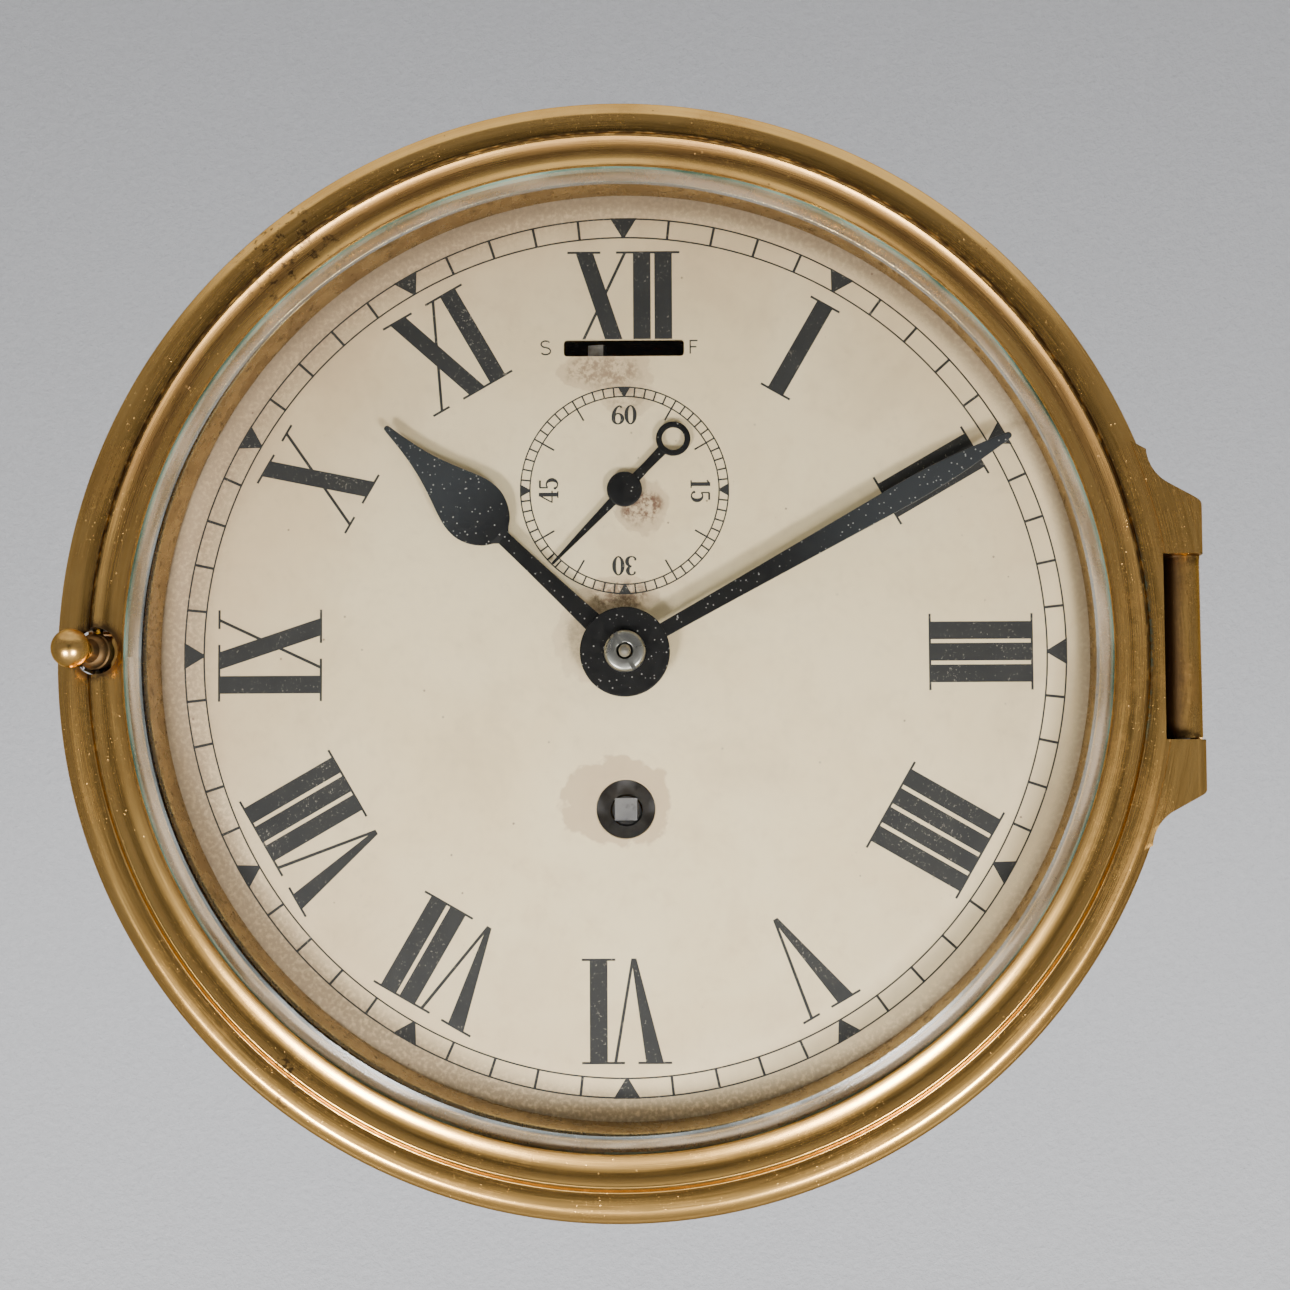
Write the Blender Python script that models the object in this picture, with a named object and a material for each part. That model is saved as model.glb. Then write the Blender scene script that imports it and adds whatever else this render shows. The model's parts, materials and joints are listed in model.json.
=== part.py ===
"""Ship's bulkhead clock with a 6 inch dial, built piece by piece.

The clock hangs upright: the dial faces -Y, 12 o'clock is +Z, the bezel hinge is at +X.
The origin is the centre of the back face, which lies against the bulkhead at y = 0.
All sizes below are millimetres in the clock's own axes: x to the right, y towards 12
o'clock and z out of the dial, from the back face. One empty turns them into the world's.
"""
import math

import bmesh
import bpy
from mathutils import Matrix, Vector

MM = 0.001
GAP = 0.3                      # clearance between pieces that touch

# Case and dial
CASE_BACK_R = 92.0             # 184 mm flange that lies on the bulkhead
DRUM_IN_R = 77.1
DRUM_OUT_R = 79.5
CASE_FRONT_R = 85.6
FLANGE_Z = 4.0                 # front face of the bulkhead flange
MOUTH_Z = 52.3                 # back face of the ring at the case's mouth
PARTING_Z = 57.0               # front face of the case, where the bezel shuts
LEDGE_R = 73.5                 # bore of the ledge behind the dial's edge
FIXING_R = 86.4
COVER_R = 82.0
COVER_SCREW_R = 79.7
DIAL_BACK_Z = 57.0
DIAL_Z = 58.0                  # front face of the dial
DIAL_R = 76.2
WINDING_Y = -24.6
SECONDS_Y = 26.1
SLOT_Y = 49.0

# Bezel, glass and hinge
BEZEL_AT = (-0.9, -1.0)        # the bezel hangs a little off the dial's centre
BEZEL_R = 87.6
SIGHT_R = 76.7
GLASS_R = 77.8
GLASS_Z = (66.3, 69.4)
HINGE = (87.4, 0.0, 61.2)
KNUCKLE_R = 3.2
KNUCKLE_HALF = 14.2
LUG_IN = 14.5
LUG_X = 90.4
NOTCH_X = 83.9
PIN_R = 1.3

# Latch
LATCH_PIVOT = (-82.6, 0.0, 64.0)
LATCH_HOLE_X = -81.5
LATCH_HOLE_R = 3.7
BALL_AT = (-84.8, 0.0, 75.5)
BALL_R = 3.0

# Movement plates and arbors
PLATE_X = 37.0
PLATE_Y = (-52.0, 37.5)
BACK_PLATE_Z = (24.0, 26.0)
FRONT_PLATE_Z = (46.0, 48.0)
PILLARS = [(-32.0, -44.0), (32.0, -44.0), (-32.0, 30.0), (32.0, 30.0)]
DIAL_FEET = [(-32.0, 12.0), (32.0, 12.0), (0.0, -44.0)]
CENTRE = (0.0, 0.0)
BARREL = (0.0, WINDING_Y)
FOURTH = (0.0, SECONDS_Y)
INTERMEDIATE = (-17.93, -7.91)
THIRD = (10.95, 15.41)
MINUTE = (7.07, -7.07)
CLICK_PIVOT = (-14.0, -27.0)
ESCAPE_DEPTH = 31.5
PALLET_DEPTH = 36.5
BALANCE_DEPTH = 42.5
PLATFORM_Y = (38.0, 40.0)

# Wheel teeth: count and module
GREAT = (60, 0.70)
INTERMEDIATE_PINION = (10, 0.70)
INTERMEDIATE_WHEEL = (48, 0.70)
CENTRE_PINION = (8, 0.70)
CENTRE_WHEEL = (48, 0.70)
THIRD_PINION = (6, 0.70)
THIRD_WHEEL = (45, 0.60)
FOURTH_PINION = (6, 0.60)
CANNON = (10, 0.50)
MINUTE_WHEEL = (30, 0.50)
MINUTE_PINION = (8, 0.50)
HOUR_WHEEL = (32, 0.50)
BARREL_TURN = 3.0              # degrees the great wheel stands off a tooth gap

# Hands, in degrees clockwise from 12
HOUR_ANGLE = 313.6
MINUTE_ANGLE = 60.8
SECONDS_ANGLE = 224.1

RING_STEPS = 52                # facets of the big rings
SMALL_START = math.radians(3.7)  # turns small rounds so that no facet meets a ring's edge


def remove_old_objects():
    for obj in list(bpy.data.objects):
        bpy.data.objects.remove(obj, do_unlink=True)


def finish(name, colour, metallic, roughness):
    mat = bpy.data.materials.new(name)
    mat.use_nodes = True
    shader = mat.node_tree.nodes["Principled BSDF"]
    shader.inputs["Base Color"].default_value = (*colour, 1.0)
    shader.inputs["Metallic"].default_value = metallic
    shader.inputs["Roughness"].default_value = roughness
    return mat


def make_frame():
    """The empty that stands the clock's axes up: z out of the dial becomes world -Y."""
    empty = bpy.data.objects.new("clock_frame", None)
    empty.rotation_euler = (math.radians(90.0), 0.0, 0.0)
    bpy.context.collection.objects.link(empty)
    return empty


# ---- shapes, as bmeshes in millimetres ------------------------------------------------

def face_out(bm):
    """Turns every face of a closed shape to point out."""
    bmesh.ops.recalc_face_normals(bm, faces=bm.faces)
    if bm.calc_volume(signed=True) < 0.0:
        bmesh.ops.reverse_faces(bm, faces=bm.faces)


def turned(profile, at=(0.0, 0.0), steps=24):
    """A solid turned about the axis through at, parallel to z; profile holds (r, z)."""
    bm = bmesh.new()
    verts = [bm.verts.new((r, 0.0, z)) for r, z in profile]
    loop = verts + verts[:1]
    edges = []
    for start, end in zip(loop, loop[1:]):
        if start.co.x > 1e-6 or end.co.x > 1e-6:
            edges.append(bm.edges.new((start, end)))
    bmesh.ops.spin(bm, geom=verts + edges, cent=(0, 0, 0), axis=(0, 0, 1), dvec=(0, 0, 0),
                   angle=math.tau, steps=steps, use_merge=True, use_duplicate=False)
    bmesh.ops.remove_doubles(bm, verts=bm.verts, dist=1e-4)
    face_out(bm)
    if steps != RING_STEPS:
        bm.transform(Matrix.Rotation(SMALL_START, 4, "Z"))
    bm.transform(Matrix.Translation((at[0], at[1], 0.0)))
    return bm


def rod(at, radius, z0, z1, steps=16):
    return turned([(0, z0), (radius, z0), (radius, z1), (0, z1)], at, steps)


def prism(outline, z0, z1):
    """An outline in x and y, run from z0 to z1."""
    bm = bmesh.new()
    verts = [bm.verts.new((x, y, z0)) for x, y in outline]
    face = bm.faces.new(verts)
    made = bmesh.ops.extrude_face_region(bm, geom=[face])
    top = [item for item in made["geom"] if isinstance(item, bmesh.types.BMVert)]
    bmesh.ops.translate(bm, verts=top, vec=(0, 0, z1 - z0))
    face_out(bm)
    return bm


def box(x, y, z):
    return prism([(x[0], y[0]), (x[1], y[0]), (x[1], y[1]), (x[0], y[1])], z[0], z[1])


def side_prism(outline, y0, y1):
    """An outline in x and z, run from y0 to y1."""
    bm = prism([(x, -z) for x, z in outline], y0, y1)
    return stood_up(bm, 0.0, 0.0)


def stood_up(bm, x, z):
    """Turns a shape so that its own z runs along the clock's y, at the given x and depth."""
    turn = Matrix.Rotation(math.radians(-90.0), 4, "X")
    bm.transform(Matrix.Translation((x, 0.0, z)) @ turn)
    return bm


def arc(centre, radius, start, end, steps):
    """Points on an arc, from the start angle to the end angle in degrees."""
    points = []
    for i in range(steps + 1):
        angle = math.radians(start + (end - start) * i / steps)
        points.append((centre[0] + radius * math.cos(angle), centre[1] + radius * math.sin(angle)))
    return points


def helper_object(bm):
    mesh = bpy.data.meshes.new("helper")
    bmesh.ops.triangulate(bm, faces=[face for face in bm.faces if len(face.verts) > 4])
    bm.to_mesh(mesh)
    bm.free()
    obj = bpy.data.objects.new("helper", mesh)
    bpy.context.collection.objects.link(obj)
    return obj


def combined(base, *steps, solver="EXACT"):
    """Applies Booleans to base in order; each step is (operation, bmesh)."""
    body = helper_object(base)
    helpers = []
    for operation, bm in steps:
        helper = helper_object(bm)
        helpers.append(helper)
        boolean = body.modifiers.new(operation, "BOOLEAN")
        boolean.operation = operation
        boolean.solver = solver
        boolean.object = helper
    graph = bpy.context.evaluated_depsgraph_get()
    mesh = bpy.data.meshes.new_from_object(body.evaluated_get(graph))
    result = bmesh.new()
    result.from_mesh(mesh)
    bpy.data.meshes.remove(mesh)
    for obj in [body] + helpers:
        bpy.data.objects.remove(obj, do_unlink=True)
    bmesh.ops.remove_doubles(result, verts=result.verts, dist=1e-4)
    bmesh.ops.dissolve_degenerate(result, edges=result.edges, dist=1e-4)
    return result


def joined(base, *more):
    return combined(base, *[("UNION", bm) for bm in more])


def cut(base, *cutters):
    return combined(base, *[("DIFFERENCE", bm) for bm in cutters])


def part(name, bm, mat, origin=(0.0, 0.0, 0.0)):
    """Makes the object, with its origin at the given point of the clock."""
    bm.transform(Matrix.Scale(MM, 4) @ Matrix.Translation(-Vector(origin)))
    mesh = bpy.data.meshes.new(name)
    bm.to_mesh(mesh)
    bm.free()
    mesh.shade_smooth()
    mesh.set_sharp_from_angle(angle=math.radians(35.0))
    mesh.materials.append(mat)
    obj = bpy.data.objects.new(name, mesh)
    bpy.context.collection.objects.link(obj)
    obj.parent = frame
    obj.location = Vector(origin) * MM
    return obj


# ---- wheels ---------------------------------------------------------------------------

def teeth(wheel, phase=0.0, thickness=0.36):
    """A toothed outline about (0, 0); one pointed tooth stands at the phase, in degrees."""
    count, module = wheel
    pitch_r = count * module / 2.0
    tip_r = pitch_r + 0.75 * module
    root_r = pitch_r - 1.0 * module
    pitch = math.tau / count
    points = []
    for i in range(count):
        middle = math.radians(phase) + i * pitch
        for share, radius in ((-0.62, root_r), (0.0, tip_r), (0.62, root_r)):
            angle = middle + share * thickness * pitch
            points.append((radius * math.cos(angle), radius * math.sin(angle)))
    return points


def wheel_at(wheel, at, z0, z1, phase=0.0, thickness=0.36):
    points = [(x + at[0], y + at[1]) for x, y in teeth(wheel, phase, thickness)]
    return prism(points, z0, z1)


def bearing(start, end):
    """The direction from one arbor to another, in degrees."""
    return math.degrees(math.atan2(end[1] - start[1], end[0] - start[0]))


def gap_phase(wheel, start, end):
    """The phase that turns a gap of the wheel at start towards the arbor at end."""
    return bearing(start, end) + 180.0 / wheel[0]


def hand_point(angle, along, across):
    """A point on a hand: along it from the centre, and across it to the right."""
    turn = math.radians(angle)
    return (along * math.sin(turn) + across * math.cos(turn),
            along * math.cos(turn) - across * math.sin(turn))


def hand_blade(half_widths, angle, z0, z1, at=(0.0, 0.0)):
    """A blade from (distance, half width) pairs, the same on both edges."""
    right = [hand_point(angle, along, half) for along, half in half_widths]
    left = [hand_point(angle, along, -half) for along, half in reversed(half_widths)]
    return prism([(x + at[0], y + at[1]) for x, y in right + left], z0, z1)


def screw(name, at, z_head, z_tip, mat, head_r=2.0, shank_r=1.0, head_h=1.2):
    """A screw whose head is at z_head and whose shank runs to z_tip."""
    toward = 1.0 if z_head > z_tip else -1.0
    under = z_head - toward * head_h
    body = turned([(0, z_head), (head_r, z_head), (head_r, under), (shank_r, under),
                   (shank_r, z_tip), (0, z_tip)], at, 16)
    slot_z = sorted((z_head - toward * head_h * 0.45, z_head + toward))
    slot = box((at[0] - head_r - 1.0, at[0] + head_r + 1.0), (at[1] - 0.25, at[1] + 0.25), slot_z)
    return part(name, cut(body, slot), mat)


# ---- case -----------------------------------------------------------------------------

def circle_points(radius, angles):
    turns = [math.radians(angle) for angle in angles]
    return [(radius * math.cos(turn), radius * math.sin(turn)) for turn in turns]


COVER_SCREWS = circle_points(COVER_SCREW_R, (45, 135, 225, 315))
HINGE_SCREWS = [(83.4, -8.0), (83.4, 8.0)]
HINGE_FOOT_Z = (48.7, 52.0)


def case_flange():
    """The flat ring that is screwed to the bulkhead, recessed behind for the cover."""
    profile = [(DRUM_IN_R, 1.8), (COVER_R + GAP, 1.8), (COVER_R + GAP, 0.0), (CASE_BACK_R, 0.0),
               (CASE_BACK_R, 3.2), (CASE_BACK_R - 0.8, FLANGE_Z), (DRUM_IN_R, FLANGE_Z)]
    cutters = []
    for at in circle_points(FIXING_R, (90, 210, 330)):
        hole = [(0, -1), (2.4, -1), (2.4, 2.0), (4.6, 4.3), (4.6, 6), (0, 6)]
        cutters.append(turned(hole, at, 12))
    for at in COVER_SCREWS:
        cutters.append(rod(at, 1.3, 1.0, 3.6, 12))
    part("case_flange", cut(turned(profile, steps=RING_STEPS), *cutters), brass_case)


def case_drum():
    """The wall of the case, between the bulkhead flange and the mouth."""
    z0 = FLANGE_Z + GAP
    z1 = MOUTH_Z - GAP
    profile = [(DRUM_IN_R, z0), (DRUM_OUT_R, z0), (DRUM_OUT_R, z1), (DRUM_IN_R, z1)]
    part("case_drum", turned(profile, steps=RING_STEPS), brass_case)


def case_mouth():
    """The front ring of the case, with the ledge that carries the dial."""
    profile = [(DRUM_IN_R, MOUTH_Z), (CASE_FRONT_R, MOUTH_Z), (CASE_FRONT_R, PARTING_Z),
               (DRUM_IN_R, PARTING_Z), (DRUM_IN_R, 56.7), (LEDGE_R, 56.7), (LEDGE_R, 54.5),
               (DRUM_IN_R - 0.6, 54.0)]
    cutters = [rod(at, 1.3, 50.0, 55.5, 12) for at in HINGE_SCREWS]
    cutters.append(box((-90.0, -79.9), (-3.6, 3.6), (51.5, 58.0)))
    part("case_mouth", cut(turned(profile, steps=RING_STEPS), *cutters), brass_case)


def back_cover():
    body = turned([(0, 0.0), (COVER_R, 0.0), (COVER_R, 1.5), (0, 1.5)], steps=RING_STEPS // 2)
    holes = [turned([(0, -1), (2.9, -1), (2.9, 0.3), (1.3, 1.2), (1.3, 3), (0, 3)], at, 12)
             for at in COVER_SCREWS]
    part("back_cover", cut(body, *holes), brass_case)
    for i, at in enumerate(COVER_SCREWS, 1):
        shape = turned([(0, 0.1), (2.3, 0.1), (2.3, 0.2), (1.0, 0.9), (1.0, 3.3), (0, 3.3)], at, 12)
        part("cover_screw_%d" % i, shape, steel)


def hinge_bracket():
    """The case's knuckle, with the foot that is screwed behind the front flange."""
    x, _, z = HINGE
    knuckle = arc((x, z), KNUCKLE_R, 255.0, -60.0, 18)
    outline = knuckle + [(89.6, HINGE_FOOT_Z[0]), (79.6, HINGE_FOOT_Z[0]),
                         (79.6, HINGE_FOOT_Z[1]), (86.3, HINGE_FOOT_Z[1])]
    body = side_prism(outline, -KNUCKLE_HALF, KNUCKLE_HALF)
    bore = stood_up(rod((0, 0), PIN_R + GAP, -20, 20, 16), x, z)
    holes = [rod(at, 1.3, 40, 54, 12) for at in HINGE_SCREWS]
    drum = rod((0, 0), 81.5, 40, HINGE_FOOT_Z[1] + 1.0, RING_STEPS)
    cuts = [("DIFFERENCE", bm) for bm in [bore, drum] + holes]
    part("hinge_bracket", combined(body, *cuts, solver="MANIFOLD"), brass_case)
    for i, at in enumerate(HINGE_SCREWS, 1):
        screw("hinge_screw_%d" % i, at, 47.2, 55.0, steel, head_r=1.9)


def dial():
    body = turned([(0, DIAL_BACK_Z), (DIAL_R, DIAL_BACK_Z), (DIAL_R, DIAL_Z), (0, DIAL_Z)],
                  steps=RING_STEPS)
    holes = [rod((0, 0), 3.6, 50, 60, 20), rod((0, WINDING_Y), 4.65, 50, 60, 24),
             rod((0, SECONDS_Y), 1.2, 50, 60, 12),
             box((-9.6, 9.6), (SLOT_Y - 1.35, SLOT_Y + 1.35), (50, 60))]
    part("dial", cut(body, *holes), dial_paint)


def dial_surround():
    """The spun ring that hides the dial's edge."""
    profile = [(73.5, 58.3), (76.2, 58.3), (76.2, 59.2), (75.8, 59.6), (75.8, 63.6), (75.0, 63.6),
               (74.6, 62.4), (74.0, 60.2)]
    part("dial_surround", turned(profile, steps=RING_STEPS), brass_bright)


# ---- bezel ----------------------------------------------------------------------------

def bezel_profile():
    """Front moulding from the sight lip outwards, then the rim and the hollow back."""
    cove = arc((79.3, 74.0), 4.7, 236.0, 300.0, 4)
    return ([(SIGHT_R, 69.7), (SIGHT_R, 70.4), (76.9, 70.65)] + cove
            + [(82.0, 69.7), (82.2, 68.3), (82.7, 67.9), (86.2, 67.2), (87.1, 66.9),
               (BEZEL_R, 66.2), (BEZEL_R, 57.3), (86.4, 57.3), (86.2, 61.5), (80.4, 61.5),
               (80.2, 57.3), (78.2, 57.3), (78.2, 69.0), (77.4, 69.0)])


def hinge_lug(side):
    """A bezel lug: its plan blends into the rim, its side is rounded about the pin."""
    x, _, z = HINGE
    plan = ([(80.0, LUG_IN), (LUG_X, LUG_IN), (LUG_X, 21.6)]
            + arc((88.8, 21.6), 1.6, 10.0, 60.0, 3)
            + arc((86.3, 29.0), 5.6, -78.0, -165.0, 6)
            + [(76.0, 32.0)])
    plan = [(px, py * side) for px, py in plan]
    edge_r = LUG_X - x
    outline = ([(76.0, 67.15), (89.2, 67.15), (LUG_X, 66.0)] + arc((x, z), edge_r, 0.0, -90.0, 6)
               + [(76.0, z - edge_r)])
    bm = combined(prism(plan, 50.0, 75.0), ("INTERSECT", side_prism(outline, -40.0, 40.0)))
    bore_wall = rod(BEZEL_AT, 78.9, 40.0, 80.0, RING_STEPS)
    return cut(bm, bore_wall)


def bezel_ring():
    ring = turned(bezel_profile(), BEZEL_AT, RING_STEPS)
    x, _, z = HINGE
    px, _, pz = LATCH_PIVOT
    lugs = [("UNION", hinge_lug(1)), ("UNION", hinge_lug(-1))]
    cuts = [("DIFFERENCE", box((NOTCH_X, 99.0), (-LUG_IN, LUG_IN), (50.0, 80.0))),
            ("DIFFERENCE", stood_up(rod((0, 0), PIN_R + GAP, -26, 26, 16), x, z)),
            ("DIFFERENCE", rod((LATCH_HOLE_X, 0), LATCH_HOLE_R, 65.0, 80.0, 24)),
            ("DIFFERENCE", box((-87.0, -79.3), (-3.6, 3.6), (56.0, 66.2))),
            ("DIFFERENCE", stood_up(rod((0, 0), 1.1, -7.0, 7.0, 12), px, pz))]
    part("bezel_ring", combined(ring, *lugs, *cuts), brass_case, HINGE)


def glass():
    z0, z1 = GLASS_Z
    profile = [(0, z0), (GLASS_R, z0), (GLASS_R, z1 - 1.3), (74.0, z1), (0, z1)]
    part("glass", turned(profile, BEZEL_AT, RING_STEPS), clear_glass, HINGE)


def glass_ring():
    profile = [(76.2, 64.3), (GLASS_R, 64.3), (GLASS_R, 66.0), (76.2, 66.0)]
    part("glass_retaining_ring", turned(profile, BEZEL_AT, RING_STEPS), brass_bright, HINGE)


def hinge_pin():
    x, _, z = HINGE
    part("hinge_pin", stood_up(rod((0, 0), PIN_R, -22.0, 22.0, 16), x, z), steel)


def latch():
    """A rocking lever: a ball to push, a collar in the bezel's hole and a nose in the case."""
    px, _, pz = LATCH_PIVOT
    foot = Vector((LATCH_HOLE_X + 0.3, 0.0, 66.4))
    axis = Vector(BALL_AT) - foot
    length = axis.length
    ball = arc((0.0, length), BALL_R, -62.0, 90.0, 8)
    neck = [(0, -0.8), (2.3, -0.8), (2.6, 0.6), (2.6, 3.2), (1.9, 4.4), (1.3, 5.2)]
    knob = turned(neck + ball[:-1] + [(0.0, length + BALL_R)], steps=16)
    knob.transform(Matrix.Translation(foot) @ axis.to_track_quat("Z", "Y").to_matrix().to_4x4())
    arm = side_prism([(-84.4, 54.8), (-83.0, 54.8), (-82.4, 57.6), (-80.9, 61.5), (-80.3, 65.4),
                      (-80.6, 66.6), (-83.4, 66.6), (-84.6, 64.5), (-84.4, 58.0)], -2.6, 2.6)
    eye = stood_up(rod((0, 0), 1.1, -5, 5, 12), px, pz)
    part("latch_lever", combined(arm, ("UNION", knob), ("DIFFERENCE", eye)), brass_bright, LATCH_PIVOT)
    part("latch_pin", stood_up(rod((0, 0), 0.8, -6.6, 6.6, 12), px, pz), steel)
    leaf = side_prism([(-86.4, 57.8), (-86.1, 57.8), (-85.5, 62.0), (-85.9, 65.8), (-86.2, 65.8),
                       (-85.8, 62.0)], -2.0, 2.0)
    part("latch_spring", leaf, steel)


# ---- hands ----------------------------------------------------------------------------

def hour_hand():
    """A spade: thin stem, round-based bulb and a long concave point."""
    stem = [(5.5, 1.65), (15.0, 1.35), (26.8, 1.15)]
    bulb = [(27.6, 2.4), (29.0, 3.9), (31.0, 4.9), (33.0, 5.2), (35.0, 4.95), (37.0, 4.3),
            (39.5, 3.3), (42.0, 2.35), (45.0, 1.55), (48.0, 0.95), (52.0, 0.55), (52.4, 0.2)]
    boss = turned([(2.6, 60.2), (6.9, 60.2), (6.9, 60.9), (2.6, 60.9)], steps=32)
    part("hour_hand", joined(boss, hand_blade(stem + bulb, HOUR_ANGLE, 60.28, 60.82)), blackened)


def minute_hand():
    blade = [(5.5, 1.15), (20.0, 1.35), (40.0, 1.7), (52.0, 1.9), (58.0, 1.75), (64.0, 1.2),
             (69.0, 0.65), (70.1, 0.35)]
    boss = turned([(1.3, 61.7), (7.1, 61.7), (7.1, 62.4), (1.3, 62.4)], steps=32)
    part("minute_hand", joined(boss, hand_blade(blade, MINUTE_ANGLE, 61.78, 62.32)), blackened)


def seconds_hand():
    """A fine pointer with a round eye on its tail."""
    pointer = hand_blade([(1.5, 0.75), (9.0, 0.5), (16.0, 0.25), (16.5, 0.15)], SECONDS_ANGLE,
                         58.96, 59.34, FOURTH)
    tail = hand_blade([(1.5, 0.8), (9.0, 0.8)], SECONDS_ANGLE + 180.0, 58.96, 59.34, FOURTH)
    ring_at = hand_point(SECONDS_ANGLE + 180.0, 11.2, 0.0)
    ring = turned([(1.8, 58.93), (2.75, 58.93), (2.75, 59.37), (1.8, 59.37)],
                  (ring_at[0] + FOURTH[0], ring_at[1] + FOURTH[1]), 24)
    boss = rod(FOURTH, 2.8, 58.9, 59.6, 24)
    part("seconds_hand", joined(boss, pointer, tail, ring), blackened, (*FOURTH, 0.0))


def hand_nut():
    profile = [(1.3, 62.7), (3.3, 62.7), (3.3, 63.6), (2.8, 64.3), (1.3, 64.4)]
    slot = box((-4.0, 4.0), (-0.35, 0.35), (63.9, 66.0))
    part("hand_nut", cut(turned(profile, steps=24), slot), brass_bright)


# ---- movement -------------------------------------------------------------------------

def plate_holes(z0, z1, places):
    return [rod(at, radius, z0 - 1.0, z1 + 1.0, 12) for at, radius in places]


def movement_plates():
    arbors = [(CENTRE, 1.3), (INTERMEDIATE, 0.9), (THIRD, 0.8), (FOURTH, 0.8)]
    pillars = [(at, 1.4) for at in PILLARS]
    shared = arbors + pillars + [(BARREL, 2.7)]
    width = (-PLATE_X, PLATE_X)
    back_holes = plate_holes(*BACK_PLATE_Z, shared)
    part("back_plate", cut(box(width, PLATE_Y, BACK_PLATE_Z), *back_holes), brass_plate)
    front_holes = plate_holes(*FRONT_PLATE_Z, shared + [(CLICK_PIVOT, 0.9)])
    part("front_plate", cut(box(width, PLATE_Y, FRONT_PLATE_Z), *front_holes), brass_plate)


def pillars():
    """Shouldered pillars whose studs pass both plates, with a nut behind each."""
    for i, at in enumerate(PILLARS, 1):
        profile = [(0, 22.2), (1.1, 22.2), (1.1, 26.3), (3.0, 26.3), (3.0, 45.7), (1.1, 45.7),
                   (1.1, 48.6), (0, 48.6)]
        part("pillar_%d" % i, turned(profile, at, 12), brass_plate)
        nut = turned([(1.4, 22.4), (2.9, 22.4), (2.9, 23.7), (1.4, 23.7)], at, 6)
        part("pillar_nut_%d" % i, nut, steel)


def dial_feet():
    for i, at in enumerate(DIAL_FEET, 1):
        profile = [(0, 48.3), (2.4, 48.3), (2.4, 55.2), (3.2, 55.8), (3.2, 56.7), (0, 56.7)]
        part("dial_foot_%d" % i, turned(profile, at, 12), brass_plate)


def barrel():
    """The going barrel: a drum whose front wall is the toothed great wheel."""
    drum = turned([(18.0, 33.6), (19.0, 33.6), (19.0, 42.4), (18.0, 42.4)], BARREL, 30)
    phase = gap_phase(GREAT, BARREL, INTERMEDIATE) + BARREL_TURN
    wheel = wheel_at(GREAT, BARREL, 42.0, 43.7, phase)
    bore = rod(BARREL, 2.7, 40.0, 46.0, 16)
    part("barrel", combined(wheel, ("UNION", drum), ("DIFFERENCE", bore)), brass_plate, (*BARREL, 0.0))
    cover = turned([(2.7, 32.2), (19.0, 32.2), (19.0, 33.3), (2.7, 33.3)], BARREL, 30)
    part("barrel_cover", cover, brass_plate, (*BARREL, 0.0))


def spiral(inner, outer, turns, thickness, steps):
    """A flat coil's outline, out along one side and back along the other."""
    count = int(turns * steps)
    out, back = [], []
    for i in range(count + 1):
        angle = math.tau * i / steps
        radius = inner + (outer - inner) * i / count
        out.append(((radius + thickness) * math.cos(angle), (radius + thickness) * math.sin(angle)))
        back.append((radius * math.cos(angle), radius * math.sin(angle)))
    return out + back[::-1]


def ribbon(points, z0, z1):
    """A closed strip built from quads, for outlines that wind round themselves."""
    count = len(points) // 2
    bm = bmesh.new()
    low = [bm.verts.new((x, y, z0)) for x, y in points]
    high = [bm.verts.new((x, y, z1)) for x, y in points]
    total = len(points)
    for i in range(total):
        j = (i + 1) % total
        bm.faces.new((low[i], low[j], high[j], high[i]))
    for i in range(count - 1):
        j = total - 1 - i
        bm.faces.new((low[i], low[j], low[j - 1], low[i + 1]))
        bm.faces.new((high[i], high[i + 1], high[j - 1], high[j]))
    face_out(bm)
    return bm


def mainspring():
    bm = ribbon(spiral(6.0, 16.6, 4.0, 0.5, 16), 34.2, 41.4)
    bm.transform(Matrix.Translation((BARREL[0], BARREL[1], 0.0)))
    part("mainspring", bm, steel, (*BARREL, 0.0))


def winding_arbor():
    """Barrel arbor, with the key square that shows in the dial's winding hole."""
    body = rod(BARREL, 2.3, 24.3, 50.8, 20)
    half = 3.55 / 2.0
    x, y = BARREL
    square = box((x - half, x + half), (y - half, y + half), (50.0, 56.6))
    part("winding_arbor", joined(body, square), steel, (*BARREL, 0.0))


def ratchet():
    """Ratchet wheel on the front plate, its click and the click's spring."""
    points = []
    for i in range(16):
        start = math.tau * i / 16
        points.append((7.6 * math.cos(start), 7.6 * math.sin(start)))
        points.append((6.4 * math.cos(start + 0.05), 6.4 * math.sin(start + 0.05)))
    points = [(x + BARREL[0], y + BARREL[1]) for x, y in points]
    wheel = cut(prism(points, 48.4, 49.9), rod(BARREL, 2.6, 45, 52, 20))
    part("ratchet_wheel", wheel, steel, (*BARREL, 0.0))
    pivot = CLICK_PIVOT
    outline = [(-14.6, -29.2), (-12.6, -29.0), (-8.6, -24.4), (-9.4, -23.6), (-14.4, -24.8)]
    click = cut(prism(outline, 48.4, 49.7), rod(pivot, 0.9, 45, 55, 12))
    part("click", click, steel, (*pivot, 0.0))
    profile = [(0, 46.6), (0.6, 46.6), (0.6, 50.0), (1.8, 50.0), (1.8, 50.8), (0, 50.8)]
    part("click_screw", turned(profile, pivot, 12), steel)
    spring = prism([(-24.0, -33.4), (-21.0, -33.4), (-21.0, -31.9), (-13.0, -30.0), (-13.2, -29.5),
                    (-22.0, -31.4), (-24.0, -31.4)], 48.4, 49.2)
    part("click_spring", spring, steel)


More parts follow.
